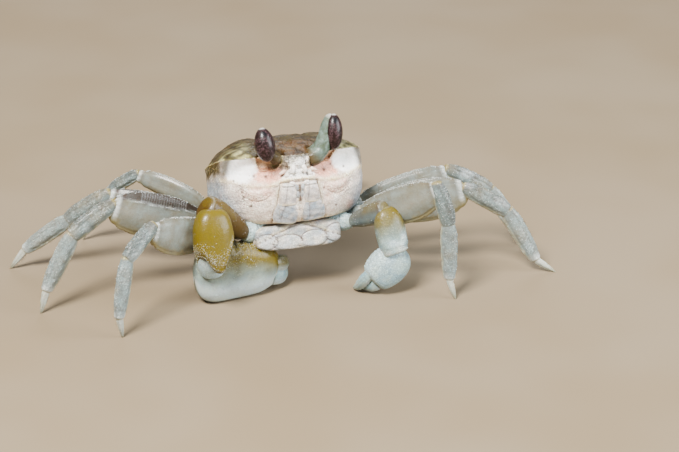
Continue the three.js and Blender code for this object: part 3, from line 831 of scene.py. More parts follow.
def build_back_shell(look):
    """The body shell. Column = place round the outline, row = from the underside to the back."""
    outline = outline_curve(128, 130)
    ox, oy = outline[:, 0], outline[:, 1]
    rows, kinds = [], []
    corner_part = step(4, -4, oy) * step(9.5, 13.5, np.abs(ox))
    notch = step(2.6, 3.9, np.abs(ox)) * step(10.2, 8.6, np.abs(ox)) * step(-9, -12, oy)
    for kind, value in shell_rings():
        if kind == "under":
            z = under_height(value * oy)
            x, y = ox * value, oy * value
        elif kind == "flank":
            tuck = math.sqrt(1 - (1 - min(1, value / 0.55)) ** 2)
            x, y = ox * (0.70 + 0.30 * tuck), oy * (0.72 + 0.28 * tuck)
            inward = 0.02 * np.clip((value - 0.76) / 0.24, 0, 1) ** 2 * corner_part
            x, y = x * (1 - inward), y * (1 - inward)
            x = x * (1 - 0.11 * (1 - value) * step(-7, -12, oy) * step(9, 14, np.abs(ox)))
            z = under_height(oy) + (rim_height(oy) - 0.1 * corner_part - under_height(oy)) * value
            front = step(-7, -11.5, oy)
            y = y + face_relief(x, z) * front
        else:
            x, y = ox * value, oy * value
            inward = 0.02 * step(0.80, 0.99, value) * corner_part
            x, y = x * (1 - inward), y * (1 - inward)
            z = dome_height(value * oy) + (rim_height(oy) - dome_height(value * oy)) * value ** 4
            z = z + back_relief(x, y) * step(0.99, 0.86, value) - 0.1 * corner_part * step(0.86, 0.99, value)
            edge = bell(value - 0.985, 0.02)
            y = y + 1.0 * notch * step(0.80, 0.96, value)
            z = z - 0.5 * notch * bell(value - 0.99, 0.05)
            y = y - 0.6 * bell(ox, 1.5) * step(-13, -14.5, oy) * edge
        rows.append(np.stack([x, y, z], -1))
        kinds.append(np.full(len(ox), {"under": 0, "flank": 1, "back": 2}[kind]))
    local = np.stack(rows)
    kind = np.stack(kinds)
    fine = ripple(local, 1.1, 3) * 0.035 + ripple(local, 3.5, 4) * 0.08
    local = local + normals(local) * (fine * (kind > 0))[..., None]
    marks = shell_marks(local, kind)
    grid = body_point(local)
    parts = [closed(grid, marks)]
    parts += shell_beads(grid, local, kind, marks)
    material = shell_finish(
        "shell_back", look.face, look.face_shade,
        [("blue", look.blue, 0.9), ("pink", look.pink, 0.9), ("white", look.white, 1.0),
         ("back", look.olive, 1.0), ("pale", look.pale, 0.85), ("ochre", look.ochre, 0.8),
         ("brown", look.umber, 0.85), ("cream", look.cream, 0.8), ("rust", look.rust, 0.8)],
        speck=1.0, grain=0.05, wet=0.05, glow=0.05, salt=0.45, shine=0.15)
    add_piece("back_shell", parts, material, ("carapace",))


def face_dark(x, z, small):
    """Dark seams and freckles of the face: below the cheek, beside, above and between the mouth
    plates, at the foot of the beak and along the dotted line outside the cheek."""
    ax = np.abs(x)
    cheek = bell(z - bulge_floor(ax), 0.13) * step(5.8, 7.4, ax) * step(12.6, 10.8, ax)
    beside = bell(ax - plate_edge(z) - 0.12, 0.16) * step(-8.6, -7.6, z) * step(1.6, 0.9, z)
    top_edge = bell(z - 1.75, 0.13) * step(4.8, 4.2, ax)
    between = bell(ax, 0.45) * step(-3.6, -2.6, z) * step(1.6, 1.0, z)
    beak_foot = bell(oval(ax, z, (1.7, 3.7), (1.5, 1)), 0.25)
    dark = (0.8 * cheek * step(-0.9, 0.2, small) + 0.75 * beside + 0.5 * top_edge + between
            + 0.45 * beak_foot)
    for fx, fz, size in FRECKLES:
        dark = dark + 1.2 * bell(np.hypot(x - fx, z - fz), 1.15 * size)
    dots = step(0.35, 0.9, np.sin(z * 8.0 + 2 * small) * 0.5 + 0.5) * bell(ax - dotted_line(z), 0.2)
    dots = dots * step(-3.6, -2.8, z) * step(2.4, 1.6, z)
    return dark + 0.8 * dots * (0.4 + 0.6 * (x < 0))


def shell_marks(local, kind):
    """Where the shell is coloured, from the place in body axes and the part of the shell."""
    x, y, z = local[..., 0], local[..., 1], local[..., 2]
    ax = np.abs(x)
    front = step(-6.0, -9.5, y) * (kind == 1)
    side = (kind == 1) * step(-10.8, -7.0, y)
    wave = 0.5 * ripple(local, 5, 5)
    small = 0.5 * ripple(local, 1.6, 15)
    above = z - face_edge(x)
    rim_fade = side * step(2.4, 5.4, z - rim_height(y) + RIM_FRONT - 0.6 + wave * 0.8)
    brow_fade = front * step(-0.25, 0.35, above + 0.1 * wave) * step(2.8, 3.8, ax)
    beak_fade = front * step(-1.9, -0.2, z - rim_height(y) + 0.7 * small + 0.5 * wave) * step(3.9, 3.2, ax)
    corner = front * step(14.6, 16.6, ax + 0.35 * (z - 5) + 0.3 * wave) * step(1.5, 5.0, z)
    back = np.maximum.reduce([(kind == 2) * 1.0, rim_fade, brow_fade, corner * 0.9, 0.85 * beak_fade])
    brown = (kind == 2) * np.clip(0.6 * step(-0.3, 0.8, ripple(local, 6.5, 6))
                                  + 0.8 * step(0.0, 0.9, ripple(local, 2.2, 8)), 0, 1)
    # pale: partly pale olive patches, partly a painted highlight on the front shoulders of the back, at the
    # front middle edge and on the brow
    pale = ((kind == 2) * step(8.0, 12.0, ax) * step(-1, -9, y) * step(1.4, -0.6, ripple(local, 3.0, 9))
            + 0.8 * (kind == 2) * bell(oval(x, y, (-0.7, -12.2), (1.1, 0.8)), 1.0))
    pale = pale + 0.5 * brow_fade * step(3, 4, ax) * step(9.8, 8.8, ax)
    ochre = (kind == 2) * bell(ax / 6.0, 1.0) * step(-4.5, -9.5, y)
    white = front * step(1.2, 0.85, oval(ax, z, (13.1, 5.5), (3.7, 3.1)) + 0.12 * small)
    beak_half = 2.0 + 0.8 * bell(z - 7.4, 0.8) + 1.7 * step(5.0, 3.4, z) + 0.7 * small
    beside = front * step(-0.1, 0.5, ax - beak_half) * step(4.6, 3.8, ax) * step(4.2, 5.2, z)
    back = np.maximum(back, 0.8 * beside)
    white = np.maximum(white, 0.75 * front * step(0.3, -0.3, ax - beak_half) * step(2.0, 3.0, z))
    pink = front * step(1.35, 0.55, oval(ax, z, (7.4, 4.0), (4.2, 2.2)) + 0.25 * small)
    pink = np.maximum(pink, 0.4 * front * step(1.3, 0.5, oval(ax, z, (9.6, -0.2), (4.2, 2.2))))
    below_cheek = bell(z - bulge_floor(ax), 0.5) * step(5.2, 6.4, ax) * step(14, 12, ax)
    pink = np.maximum(pink, 0.35 * front * below_cheek)
    pink = np.maximum(pink, 0.35 * front * step(0.1, 0.9, wave) * step(3.5, 5.0, ax))
    socket = front * step(-0.1, 0.3, above) * step(3.4, 2.0, above)
    socket = socket * step(5.2, 6.4, ax) * step(11.4, 10.6, ax)
    back = np.clip(back - 0.7 * socket, 0, 1)
    pink = np.maximum(pink, 0.7 * socket)
    cream = front * (bell(z - ridge_height(ax), 0.5) * step(2.0, 3.2, ax) * (0.42 + 0.4 * wave)
                     + 0.7 * bell(z - 2.6, 0.35) * step(4.4, 3.4, ax)
                     + 0.5 * step(-6.6, -8.2, z + 0.4 * small))
    rust = front * (0.75 * bell(above - 0.15, 0.42) * step(3.4, 4.4, ax) * step(9.6, 8.4, ax)
                    + 0.5 * bell(oval(ax, z, (6.0, 3.1), (1.5, 1)), 0.6)) + 0.4 * socket
    beside_line = bell(ax - dotted_line(z) + 0.5, 0.9) * step(-4.5, -3, z) * step(2.8, 1.6, z)
    cheek = bell(z - bulge_floor(ax) - 0.6, 1.0) * step(6, 8, ax) * step(14, 12, ax)
    granular = np.clip(0.3 * (kind == 2) + 0.6 * front * step(4.2, 3.0, ax) * step(1.5, 2.6, z)
                       + 0.35 * side + 0.45 * front * (1 - 0.8 * white)
                       + front * (0.9 * beside_line + 0.5 * cheek), 0, 1)
    # blue: the cool colour of the flanks; its front part, on the lower outer corners of the face, is a
    # painted blue-white sheen
    blue = np.clip(side * (1 - back) + 0.6 * front * step(11.0, 15.0, ax) * step(3, -3, z), 0, 1)
    return {"back": back, "brown": brown, "ochre": ochre, "white": white, "pink": pink, "pale": pale,
            "cream": np.clip(cream, 0, 1), "dark": np.clip(front * face_dark(x, z, small), 0, 0.95),
            "blue": blue, "rust": rust, "granular": granular}


def shell_beads(grid, local, kind, marks):
    """Granules on the brow, the side edge, the ridge under the eye, the beak and the flanks."""
    rng = np.random.default_rng(SEED)
    x, y, z = local[..., 0], local[..., 1], local[..., 2]
    ax = np.abs(x)
    rim = bell(z - rim_height(y), 0.18) * (y < 9) * (y > -9)
    brow = bell(z - face_edge(x), 0.25) * (y < -8) * (kind == 1) * step(3.4, 4.4, ax) * step(17, 16, ax)
    ridge = bell(z - ridge_height(ax), 0.5) * (y < -8) * step(3.0, 4.5, ax) * (kind == 1)
    beak = (kind == 1) * (y < -12) * step(3.4, 2.2, ax) * step(2.4, 3.6, z)
    flank = (kind == 1) * step(-9.5, -6.5, y) * step(8, -8, y) * bell(z - 3.5, 3.0)
    top = (kind == 2) * step(0.2, 1.2, ripple(local, 3.0, 8)) * step(9, 2, y)
    rows = ((rim, 300, (0.09, 0.14), 0.25), (brow, 260, (0.09, 0.16), 0.5), (ridge, 200, (0.07, 0.13), 0.3),
            (beak, 300, (0.09, 0.2), 0.1), (flank, 200, (0.07, 0.12), 0.3), (top, 500, (0.06, 0.12), 0.1))
    return [granules(grid, marks, density, count, sizes, rng, cream=tone)
            for density, count, sizes, tone in rows]


# ---------------------------------------------------------------- mouth, breastplate, tail flap
def build_mouth(look):
    """Two mouth plates, splayed below, each a lower joint and an upper joint that overlaps it, with
    a side strip, a folded palp in the gap between, and the short feelers beside the beak."""
    material = shell_finish("shell_mouth", look.face, look.face_shade,
                            [("blue", look.blue, 0.8), ("white", look.white, 0.6),
                             ("cream", look.cream, 0.7), ("pink", look.pink, 0.4)],
                            speck=0.5, grain=0.03, wet=0.3)
    up = body_dir((0, -1, 0))

    def lower_push(t, a):
        out = step(-0.2, 0.5, np.sin(a))
        groove = -0.2 * bell(np.cos(a) + 0.30 - 0.2 * t, 0.07) * step(0.1, 0.25, t) * step(0.95, 0.85, t)
        return (groove + 0.1 * bell(t - 0.45, 0.3) + 0.035 * np.sin(23 * t + 4 * np.cos(a))) * out

    def upper_push(t, a):
        out = step(-0.2, 0.5, np.sin(a))
        border = 0.14 * bell(t - 0.9, 0.035) - 0.14 * bell(t - 0.8, 0.03)
        edge = 0.12 * bell(np.abs(np.cos(a)) - 0.95, 0.06) - 0.1 * bell(np.abs(np.cos(a)) - 0.78, 0.07)
        return (border + edge + 0.1 * bell(t - 0.4, 0.3) + 0.03 * np.sin(19 * t + 5 * np.cos(a))) * out

    for side in ("left", "right"):
        fall = 0.0 if side == "left" else -0.35

        def put(p, at=side):
            return body_point(on_side(p, at))
        joint = -3.1 + fall
        low = sweep_grid(put(np.array([(3.7, -12.4, -7.9 + fall), (3.4, -13.0, -6.2), (3.0, -13.6, -4.4),
                                       (2.8, -14.1, joint + 0.3)])),
                         (0.7, 1.0, 1.0, 0.8), (2.6, 3.0, 2.7, 2.35), up, 100, 84, square=3.0,
                         blunt=(3.5, 5), push=lower_push)
        high = sweep_grid(put(np.array([(2.75, -13.95, joint - 0.3), (2.7, -14.4, -1.4), (2.65, -14.75, 0.2),
                                        (2.6, -14.9, 1.6)])),
                          (0.9, 1.1, 1.0, 0.7), (2.35, 2.1, 1.85, 1.3), up, 90, 84, square=2.8,
                          blunt=(5, 4), push=upper_push)
        parts = []
        for (grid, t, a), tone in ((low, 1.1), (high, 0.55)):
            marks = {"blue": tone * (0.6 + 0.4 * np.sin(a)) + 0.15 * ripple(grid, 2.0, 41),
                     "cream": 0.5 * step(0.14, 0.03, t) * (tone > 0.5),
                     "white": 0.5 * (tone < 0.5) + 0.5 * bell(t - 0.96, 0.05), "granular": 0.45,
                     "dark": 0.7 * step(0.03, 0.0, t) + 0.6 * bell(np.cos(a) + 0.30 - 0.2 * t, 0.05)
                     * (tone > 0.5) * step(0.1, 0.25, t) * (np.sin(a) > 0)}
            parts.append(closed(grid, marks))
        for path, deep, tints in MOUTH_STRIPS:
            grid, t, a = sweep_grid(put(np.array(path)), deep, deep, up, 36, 20)
            parts.append(closed(grid, tints))
        add_piece(f"mouth_plate_{side}", parts, material, (f"maxilliped_{side}",))


def build_underside(look):
    """Breastplate with the sutures between its segments, its front standing as two lobes below a
    zigzag seam, and the folded tail flap in six joints."""
    material = shell_finish("shell_under", look.under, look.face_shade,
                            [("blue", look.blue, 0.75), ("cream", look.cream, 0.5),
                             ("white", look.white, 0.4)], speck=0.4, grain=0.03, wet=0.3)
    mid = (STERNUM["top"] + STERNUM["bottom"]) / 2
    sutures = (0.26, 0.40, 0.54, 0.68, 0.81)

    def sternum_push(t, a):
        out = step(0.5, -0.1, np.sin(a))
        lines = sum(bell(t - s - 0.05 * np.abs(np.cos(a)), 0.012) for s in sutures)
        swell = 0.3 * np.sin(math.pi * t / 0.15) ** 2 * step(0.4, 0.9, np.abs(np.cos(a)))
        return (swell * step(0.15, 0.25, t) - 0.4 * lines) * out

    spec = {"start": (0, STERNUM["front"] - 1.9, mid - 0.7), "end": (0, STERNUM["rear"], mid + 1.2),
            "up": (0, 0, 1), "blunt": (9, 4), "deep": (3.3, 2.3, 2.4),
            "thick": (11.0, STERNUM["half_width"] + 0.4, 8.2), "square": 4.5}
    local, t, a = limb_grid(spec, 190, 200, sternum_push)
    x, y, z = local[..., 0], local[..., 1], local[..., 2]
    front = step(-8.5, -10.5, y)
    seam = z + 8.9 + 0.42 * np.maximum(np.abs(x) - 0.8, 0) + 0.12 * ripple(local, 2.2, 52)
    lobes = [oval(x, z, middle, half)
             for middle, half in (((-2.9, -13.1), (3.6, 1.9)), ((3.6, -12.8), (3.3, 2.1)),
                                  ((-8.0, -12.6), (2.6, 1.9)), ((9.0, -12.0), (2.6, 2.2)))]
    raised = sum(step(1.1, 0.7, lobe) for lobe in lobes)
    lines = bell(seam, 0.16) + sum(bell(lobe - 1.0, 0.045) for lobe in lobes)
    push = 0.16 * raised - 0.14 * np.minimum(lines, 1) + 0.3 * step(0, -0.6, seam)
    local[..., 1] -= (push + 0.04 * ripple(local, 1.8, 53)) * front
    under = sum(bell(t - s - 0.05 * np.abs(np.cos(a)), 0.009) for s in sutures) * step(0.5, -0.1, np.sin(a))
    cloud = 0.5 + 0.5 * step(-0.4, 1, ripple(local, 2.4, 54))
    marks = {"dark": 0.5 * under * (1 - front) + 0.9 * np.minimum(lines, 1) * front, "granular": 0.6,
             "blue": 0.4 * step(0.5, 1.0, np.abs(np.cos(a))) + front * cloud,
             "cream": 0.5 * front * bell(seam - 0.4, 0.4) + 0.3 * step(0, 1, ripple(local, 3, 55)),
             "white": 0.5 * front * np.minimum(raised, 1)}
    add_piece("breastplate", [closed(body_point(local), marks)], material, ("sternum",))

    joints = (0.16, 0.30, 0.45, 0.60, 0.76)

    def flap_push(t, a):
        out = step(0.3, -0.2, np.sin(a))
        lines = sum(bell(t - s, 0.014) for s in joints)
        hump = sum(bell(t - s - 0.07, 0.05) for s in joints)
        return (-0.28 * lines + 0.12 * hump + 0.15 * bell(np.cos(a), 0.3)) * out

    spec = {"start": body_point((0, ABDOMEN["front"], STERNUM["bottom"] + 0.1)),
            "end": body_point((0, ABDOMEN["rear"], STERNUM["bottom"] + 1.4)), "up": body_dir((0, 0, 1)),
            "deep": (0.9, ABDOMEN["thick"], 1.3), "thick": (1.6, ABDOMEN["half_width"], 5.4)}
    grid, t, a = limb_grid(spec, 120, 72, flap_push)
    lines = sum(bell(t - s, 0.01) for s in joints)
    marks = {"dark": 0.5 * lines * step(0.3, -0.2, np.sin(a)), "granular": 0.2, "cream": 0.2}
    add_piece("tail_flap", [closed(grid, marks)], material, ("abdomen",))


# ---------------------------------------------------------------- eyes
def build_eyes(look):
    """Each eye is a lens clasped by the swollen end of its stalk, whose foot fills the socket."""
    lens = lens_finish(look)
    stalk = shell_finish("eye_stalk", look.stalk, look.stalk_blue,
                         [("cap", look.cap, 0.8), ("rust", look.stalk_foot, 0.9)],
                         speck=0.25, grain=0.02, wet=0.1, mottle=1.4, salt=0.15, shine=0.12)
    for side, eye in EYES.items():
        def put(p, at=side):
            return body_point(on_side(p, at))
        low, high = put(eye["lens"][0]), put(eye["lens"][1])
        r = eye["radius"]
        spec = {"start": low, "end": high, "up": body_dir((0, -1, 0)), "blunt": 2.15, "square": 2,
                "deep": (0.9 * r, r, 0.84 * r), "thick": (0.92 * r, 1.03 * r, 0.86 * r)}
        grid, t, a = limb_grid(spec, 96, 80)
        # The dark pseudopupil is painted as a spot on the side of the lens that faces the camera.
        spot = low + 0.82 * (high - low) + 0.72 * r * body_dir((-0.12, -0.97, 0.1))
        pupil = step(0.85, 0.6, np.linalg.norm(grid - spot, axis=-1))
        marks = {"pupil": pupil, "cap": step(0.955, 0.995, t)}
        add_piece(f"eye_lens_{side}", [closed(grid, marks)], lens, (f"cornea_{side}",))
        radii = eye["stalk_radii"]
        grid, t, a = sweep_grid(put(np.array(eye["stalk"])), radii, radii, body_dir((0, -1, 0)), 110, 56,
                                square=2, blunt=(2.2, 2.0),
                                push=lambda t, a: 0.06 * np.sin(7 * a + 5 * t) * bell(t - 0.2, 0.15)
                                + 0.04 * np.sin(30 * t + 2 * np.sin(3 * a)))
        marks = {"cap": step(0.88, 0.97, t) * 0.9, "rust": step(*eye["brown"], t), "granular": 0.7}
        add_piece(f"eye_stalk_{side}", [closed(grid, marks)], stalk, (f"eyestalk_{side}",))


# ---------------------------------------------------------------- legs
def leg_segments(key):
    """Joints of a leg from its hip, heading and rises, and the shape of each of its segments."""
    side, number = key.split("_")
    kind, stance = LEG_KIND[number], STANCE[key]
    r = stance["rises"]
    joints = [body_point(on_side(kind["hip"], side))]
    for rise, length in zip((r[0], r[0], r[1], r[2]), kind["lengths"]):
        joints.append(joints[-1] + toward(stance["heading"], rise) * length)
    drop = math.degrees(math.asin(min(0.99, joints[4][2] / kind["lengths"][4])))
    last = drop - 180 if stance.get("curl") else -drop
    joints.append(joints[4] + toward(stance["heading"], last) * kind["lengths"][4])
    across = toward(stance["heading"] + 90, 0)
    segments = []
    for i, (part, shape) in enumerate(LEG_PART.items()):
        way = unit(joints[i + 1] - joints[i])
        spec = {**shape, **(kind["thigh"] if part == "merus" else {})}
        if part != "merus":
            spec["deep"] = tuple(v * kind["stout"] for v in spec["deep"])
        spec["thick"] = tuple(v * kind["stout"] for v in spec["thick"])
        spec["start"] = joints[i] - way * (TUCK if i else ROOT)
        spec["end"] = joints[i + 1] + way * LAP
        spec["up"] = -np.cross(across, way)
        segments.append((part, spec))
    return segments


def shoulder(t):
    """Height on a thigh, -1 to 1, of the arched edge between its top band and its smooth face."""
    return 0.90 - 0.42 * np.sin(math.pi * np.clip(t, 0, 1)) ** 0.8


def leg_push(part, ribbed):
    """Relief of a leg segment: a raised lip and a groove at its far end, then for a thigh a crest,
    an arched edge with fine cross ribs above it and a keel below; for the rest low long ribs."""
    def push(t, a):
        h = np.sin(a)
        lip = 0.12 * bell(t - 0.945, 0.02) - 0.16 * bell(t - 0.90, 0.025)
        lip = lip - 0.10 * bell(t - 0.075, 0.03)
        rough = 0.05 * np.sin(23 * t + 3 * a) * np.sin(5 * a + 11 * t)
        if part == "merus":
            body = step(0.06, 0.2, t) * step(0.93, 0.85, t)
            above = step(shoulder(t) - 0.02, shoulder(t) + 0.1, h)
            arch = (0.16 * bell(h - shoulder(t), 0.05) - 0.1 * above) * ribbed
            crest = 0.22 * bell(h - 1.0, 0.04) + arch
            ribs = 0.05 * np.sin(2 * math.pi * 38 * t + 2.5 * h) * above * ribbed
            dish = -0.25 * bell(h - 0.1, 0.35) * bell(t - 0.5, 0.3)
            keel = 0.2 * bell(h + 1.0, 0.04) - 0.12 * bell(h + 0.86, 0.05)
            return lip + (crest + ribs + keel + dish) * body
        if part == "dactylus":
            return (0.10 * np.abs(np.cos(2.5 * a)) - 0.05) * step(0.05, 0.2, t) * step(1.0, 0.8, t)
        ribs = 0.14 * bell(h - 0.93, 0.05) + 0.12 * bell(np.abs(np.cos(a)) - 1, 0.03)
        groove = -0.15 * bell(np.abs(h) - 0.55, 0.12)
        knob = (0.10 if part == "propodus" else 0) * bell(t - 0.93, 0.04)
        return 0.4 * lip + knob + (ribs + groove + rough) * step(0.08, 0.25, t) * step(0.92, 0.8, t)
    return push


def leg_marks(part, t, a, grid, ribbed):
    """Where a leg segment is banded, granular, yellowish or white."""
    h = np.sin(a)
    wave = 0.08 * ripple(grid, 2.2, 12)
    small = 0.5 * ripple(grid, 0.9, 14)
    big = 0.5 * ripple(grid, 7.0, 16)
    if part == "merus":
        above = step(shoulder(t) - 0.06, shoulder(t) + 0.05, h + 0.5 * wave) * ribbed
        band = step(0.925, 0.935, t + 0.006 * small) * step(0.972, 0.962, t) * (0.4 + 0.4 * small)
        ribs = step(0.1, 0.9, np.sin(2 * math.pi * 38 * t + 2.5 * h)) * above
        fold = 0.45 * step(0.75, 0.98, h) * (1 - ribbed)
        edge_line = 0.22 * bell(h - shoulder(t), 0.02) * ribbed
        pale_face = 0.08 * bell(h - 0.2 - 0.15 * big, 0.35) * step(0.1, 0.5, t)
        freckled = np.maximum(above * 0.4, step(-0.8, -0.95, h))
        return {"top": np.maximum(1.1 * above, fold),
                "granular": np.clip(0.2 * above + 0.05 + 0.3 * band, 0, 1),
                "edge": step(-0.55, -0.92, h + wave) * 0.9,
                "joint": 0.8 * step(0.972, 0.985, t) + 0.7 * step(0.06, 0.03, t)
                + 0.7 * bell(t - 0.93, 0.03) * step(-0.1, -0.8, h),
                "white": np.maximum(band * step(-0.9, -0.2, h), 0.05 * ribs + edge_line) + pale_face,
                "tip": (0.38 + 0.3 * step(-0.5, 1.0, -big)) * (1 - above),
                "dark": 0.5 * step(1.1, 1.5, ripple(grid, 0.8, 13)) * freckled
                + 0.35 * bell(t - 0.905, 0.01) * step(-0.2, 0.4, h)}
    if part == "dactylus":
        return {"tip": 0.6 * step(0.5, 1.0, t), "joint": 0.4 * step(0.2, 0.05, t), "granular": 0.25,
                "white": 0.35 * step(1.0, 0.4, t), "edge": 0.5 + 0.2 * small}
    far = 0.6 if part == "propodus" else 0.1
    pale_end = far * step(0.84, 0.94, t) * (0.6 + 0.4 * small)
    patches = 0.2 * step(0.2, 0.9, small) + 0.25 * step(0.2, 0.9, big)
    return {"top": (0.85 if part == "carpus" else 0.08) * step(-0.2, 0.8, h + wave) * (0.7 + 0.3 * big),
            "granular": 0.25 + 0.45 * step(-0.2, 0.6, h + wave),
            "edge": 0.85 * step(-0.5, -0.9, h + wave),
            "joint": 0.8 * step(0.05, 0.03, t) + 0.7 * step(0.965, 0.99, t)
            + 0.5 * bell(t - 0.9, 0.025) * step(0.3, -0.5, h),
            "white": pale_end + 0.3 * step(-0.75, -0.98, h + wave) + patches + 0.06 * (part == "propodus"),
            "tip": 0.3 * step(0.1, 1.0, -big) + (0.3 if ribbed else 0) * step(-0.6, 0.6, -big),
            "dark": 0.4 * step(1.2, 1.5, ripple(grid, 0.9, 13)) * step(-0.6, 0.2, h)
            + 0.45 * bell(t - 0.93, 0.008) * step(0.6, -0.2, h) + 0.3 * bell(t - 0.05, 0.01)}


def leg_beads(part, grid, t, a, marks, rng, ribbed):
    """Granules: rows along the crest and the arched edge of a thigh and along the ribs of the
    other segments, with loose ones between them."""
    if part == "dactylus":
        return []
    h = np.sin(a)
    span = step(0.03, 0.08, t) * step(0.96, 0.93, t)
    if part == "merus":
        crest = bell(h - 1.0, 0.02) + 0.7 * bell(h - shoulder(t), 0.025) * ribbed
        rows = ((crest * span, 200, (0.07, 0.14), 0.45), (step(0.6, 0.8, h) * span, 80, (0.05, 0.09), 0.05),
                (bell(t - 0.95, 0.012) * step(-0.8, 0.2, h), 40, (0.08, 0.14), 0.6),
                (bell(h + 1.0, 0.02) * span, 60, (0.06, 0.10), 0.2))
    else:
        ribs = bell(h - 0.95, 0.06) + bell(np.abs(np.cos(a)) - 1, 0.015)
        rows = ((ribs * span, 120, (0.06, 0.12), 0.45), (step(-0.3, 0.4, h) * span, 120, (0.04, 0.07), 0.5))
    return [granules(grid, marks, density, count, sizes, rng, white=tone)
            for density, count, sizes, tone in rows]


def coxa_parts(spec, stout):
    """The two short rings that carry a leg: each a squat sweep round the leg's first axis."""
    start = np.asarray(spec["start"])
    way = unit(np.asarray(spec["end"]) - start)
    parts = []
    for back, ahead, size in ((2.6, 1.2, 2.5), (0.2, 2.4, 2.2)):
        path = [start - way * back, start + way * (ahead - back) / 3, start + way * ahead]
        r = (size * 0.9 * stout, size * stout, size * 0.84 * stout)
        grid, t, a = sweep_grid(path, r, tuple(0.84 * v for v in r), spec["up"], 36, 48, blunt=(2.5, 2.5),
                                push=lambda t, a: 0.12 * bell(t - 0.85, 0.05) + 0.05 * np.sin(5 * a))
        parts.append(closed(grid, {"edge": 0.25, "white": 0.35, "granular": 0.5,
                                   "joint": step(0.12, 0.02, t) + step(0.9, 1.0, t)}))
    return parts


def limb_finish(name, look, **changes):
    """Finish of the legs and the pale parts of the claws."""
    layers = [("top", look.crest, 0.9), ("edge", look.straw, 0.75), ("amber", look.amber, 1.15),
              ("ochre", look.ochre, 1.08), ("tip", look.horn, 0.85), ("white", look.white, 0.85),
              ("joint", look.gold, 0.75)]
    settings = {"speck": 0.5, "grain": 0.03, "wet": 0.2, "glow": 0.05, "salt": 0.3, **changes}
    return shell_finish(name, settings.pop("base", look.glass), settings.pop("shade", look.smoke),
                        layers, **settings)


def build_legs(look):
    """Eight walking legs of five segments, each segment in its own piece."""
    material = limb_finish("shell_leg", look)
    rng = np.random.default_rng(SEED + 1)
    size = {"ischium": (54, 44), "merus": (120, 72), "carpus": (84, 52), "propodus": (96, 52),
            "dactylus": (64, 40)}
    for key in STANCE:
        stout = LEG_KIND[key.split("_")[1]]["stout"]
        for part, spec in leg_segments(key):
            ribbed = (1.0 if "right" in key else 0.35) * key.endswith(("3", "4"))
            grid, t, a = limb_grid(spec, *size[part], push=leg_push(part, ribbed))
            grid = above_floor(grid, 0.02)
            marks = leg_marks(part, t, a, grid, ribbed)
            parts = [closed(grid, marks)] + leg_beads(part, grid, t, a, marks, rng, ribbed)
            if part == "ischium":
                parts += coxa_parts(spec, stout)
            slot = "claw_tip" if part == "dactylus" else "leg_shell"
            add_piece(f"{part}_shell_{key}", parts, material, (f"{part}_{key}",))


# ---------------------------------------------------------------- claws
def claw_joints(claw):
    """Places of the hip, elbow and wrist joints of a claw arm."""
    joints = [np.array(claw["hip"], float)]
    for heading, rise, length in (claw["ischium"], claw["merus"], claw["carpus"]):
        joints.append(joints[-1] + toward(heading, rise) * length)
    return joints


def build_claws(look):
    """Two arms of unequal size: two arm joints, a yellow wrist with a toothed rim that overlaps
    the palm, a palm running on into its fixed finger, and a moving finger."""
    material = limb_finish("shell_claw", look, base=look.palm, shade=look.palm_blue, wet=0.15)
    rng = np.random.default_rng(SEED + 2)
    for side, claw in CLAW.items():
        joints = claw_joints(claw)
        arm = claw["arm"]
        major = side == "right"
        shapes = {
            "ischium": {"deep": (1.8, 2.1, 1.9), "thick": (1.6, 1.9, 1.7)},
            "merus": {"deep": (1.5, 2.3, 3.2), "thick": (1.7, 2.3, 2.6)},
            "carpus": {"deep": (3.1, 3.6, 3.1), "thick": (2.4, 2.8, 2.7), "up": toward(claw["up"], 0)},
        }
        for i, (part, shape) in enumerate(shapes.items()):
            way = unit(joints[i + 1] - joints[i])
            spec = {"up": (0, 0, 1), **shape, "start": joints[i] - way * (TUCK if i else ROOT),
                    "end": joints[i + 1] + way * LAP}
            if major and part == "merus":
                spec["end"] = spec["end"] + ELBOW_BACK
            for k in ("deep", "thick"):
                spec[k] = tuple(v * arm for v in spec[k])
            build_arm_part(part, side, spec, major, material, rng)
        build_hand(side, claw, major, material, rng)


def turn_from(a, middle):
    """Angle round a segment measured from a middle one, between minus and plus half a turn."""
    return (a - middle + math.pi) % (2 * math.pi) - math.pi


def arm_push(part, major):
    """Relief of a segment of a claw arm: its lip, its edges and, on a wrist, the fold and the rim."""
    def push(t, a):
        h = np.sin(a)
        if part == "carpus":
            fold = a - (0.12 + 0.85 * step(1.0, 0.4, t) if major else WRIST_CORNER)
            crease = (0.3 * bell(fold, 0.12) - 0.4 * bell(fold - 0.32, 0.18)) * step(0.25, 0.5, t)
            rim = (0.2 if major else 0.1) * bell(t - 0.915, 0.02) - 0.12 * bell(t - 0.86, 0.03)
            scallop = 0.08 * np.sin(26 * a) * bell(t - 0.93, 0.03)
            return (crease * step(0.08, 0.25, t) + rim + scallop) * step(1.0, 0.93, t)
        lip = 0.1 * bell(t - 0.93, 0.02) - 0.16 * bell(t - 0.885, 0.02)
        ribs = 0.18 * bell(h - 0.97, 0.05) + 0.16 * bell(h + 0.97, 0.05)
        wide = 0.03 * np.sin(2 * math.pi * 9 * t + 2 * h) * step(0.2, 0.8, h)
        return lip + (ribs + wide) * step(0.1, 0.3, t) * step(0.9, 0.8, t)
    return push


def arm_pull(part, major):
    """How far the end of a segment of a claw arm runs out along it: a wrist has its tooth there."""
    def pull(t, a):
        if part != "carpus":
            return (0.9 if major and part == "merus" else 0.0) * step(0.7, 1.0, t)
        off = turn_from(a, 0.12 if major else WRIST_CORNER)
        if not major:
            return (1.2 * bell(off, 0.3) + 0.35 * np.cos(off)) * step(0.6, 0.95, t)
        inner = 6.6 * step(0.0, 1.25, off) * step(2.7, 1.5, off)
        outer = 3.6 * step(0.0, -1.15, off) * step(-2.7, -1.6, off)
        return (0.9 - inner - outer) * step(0.45, 0.97, t)
    return pull


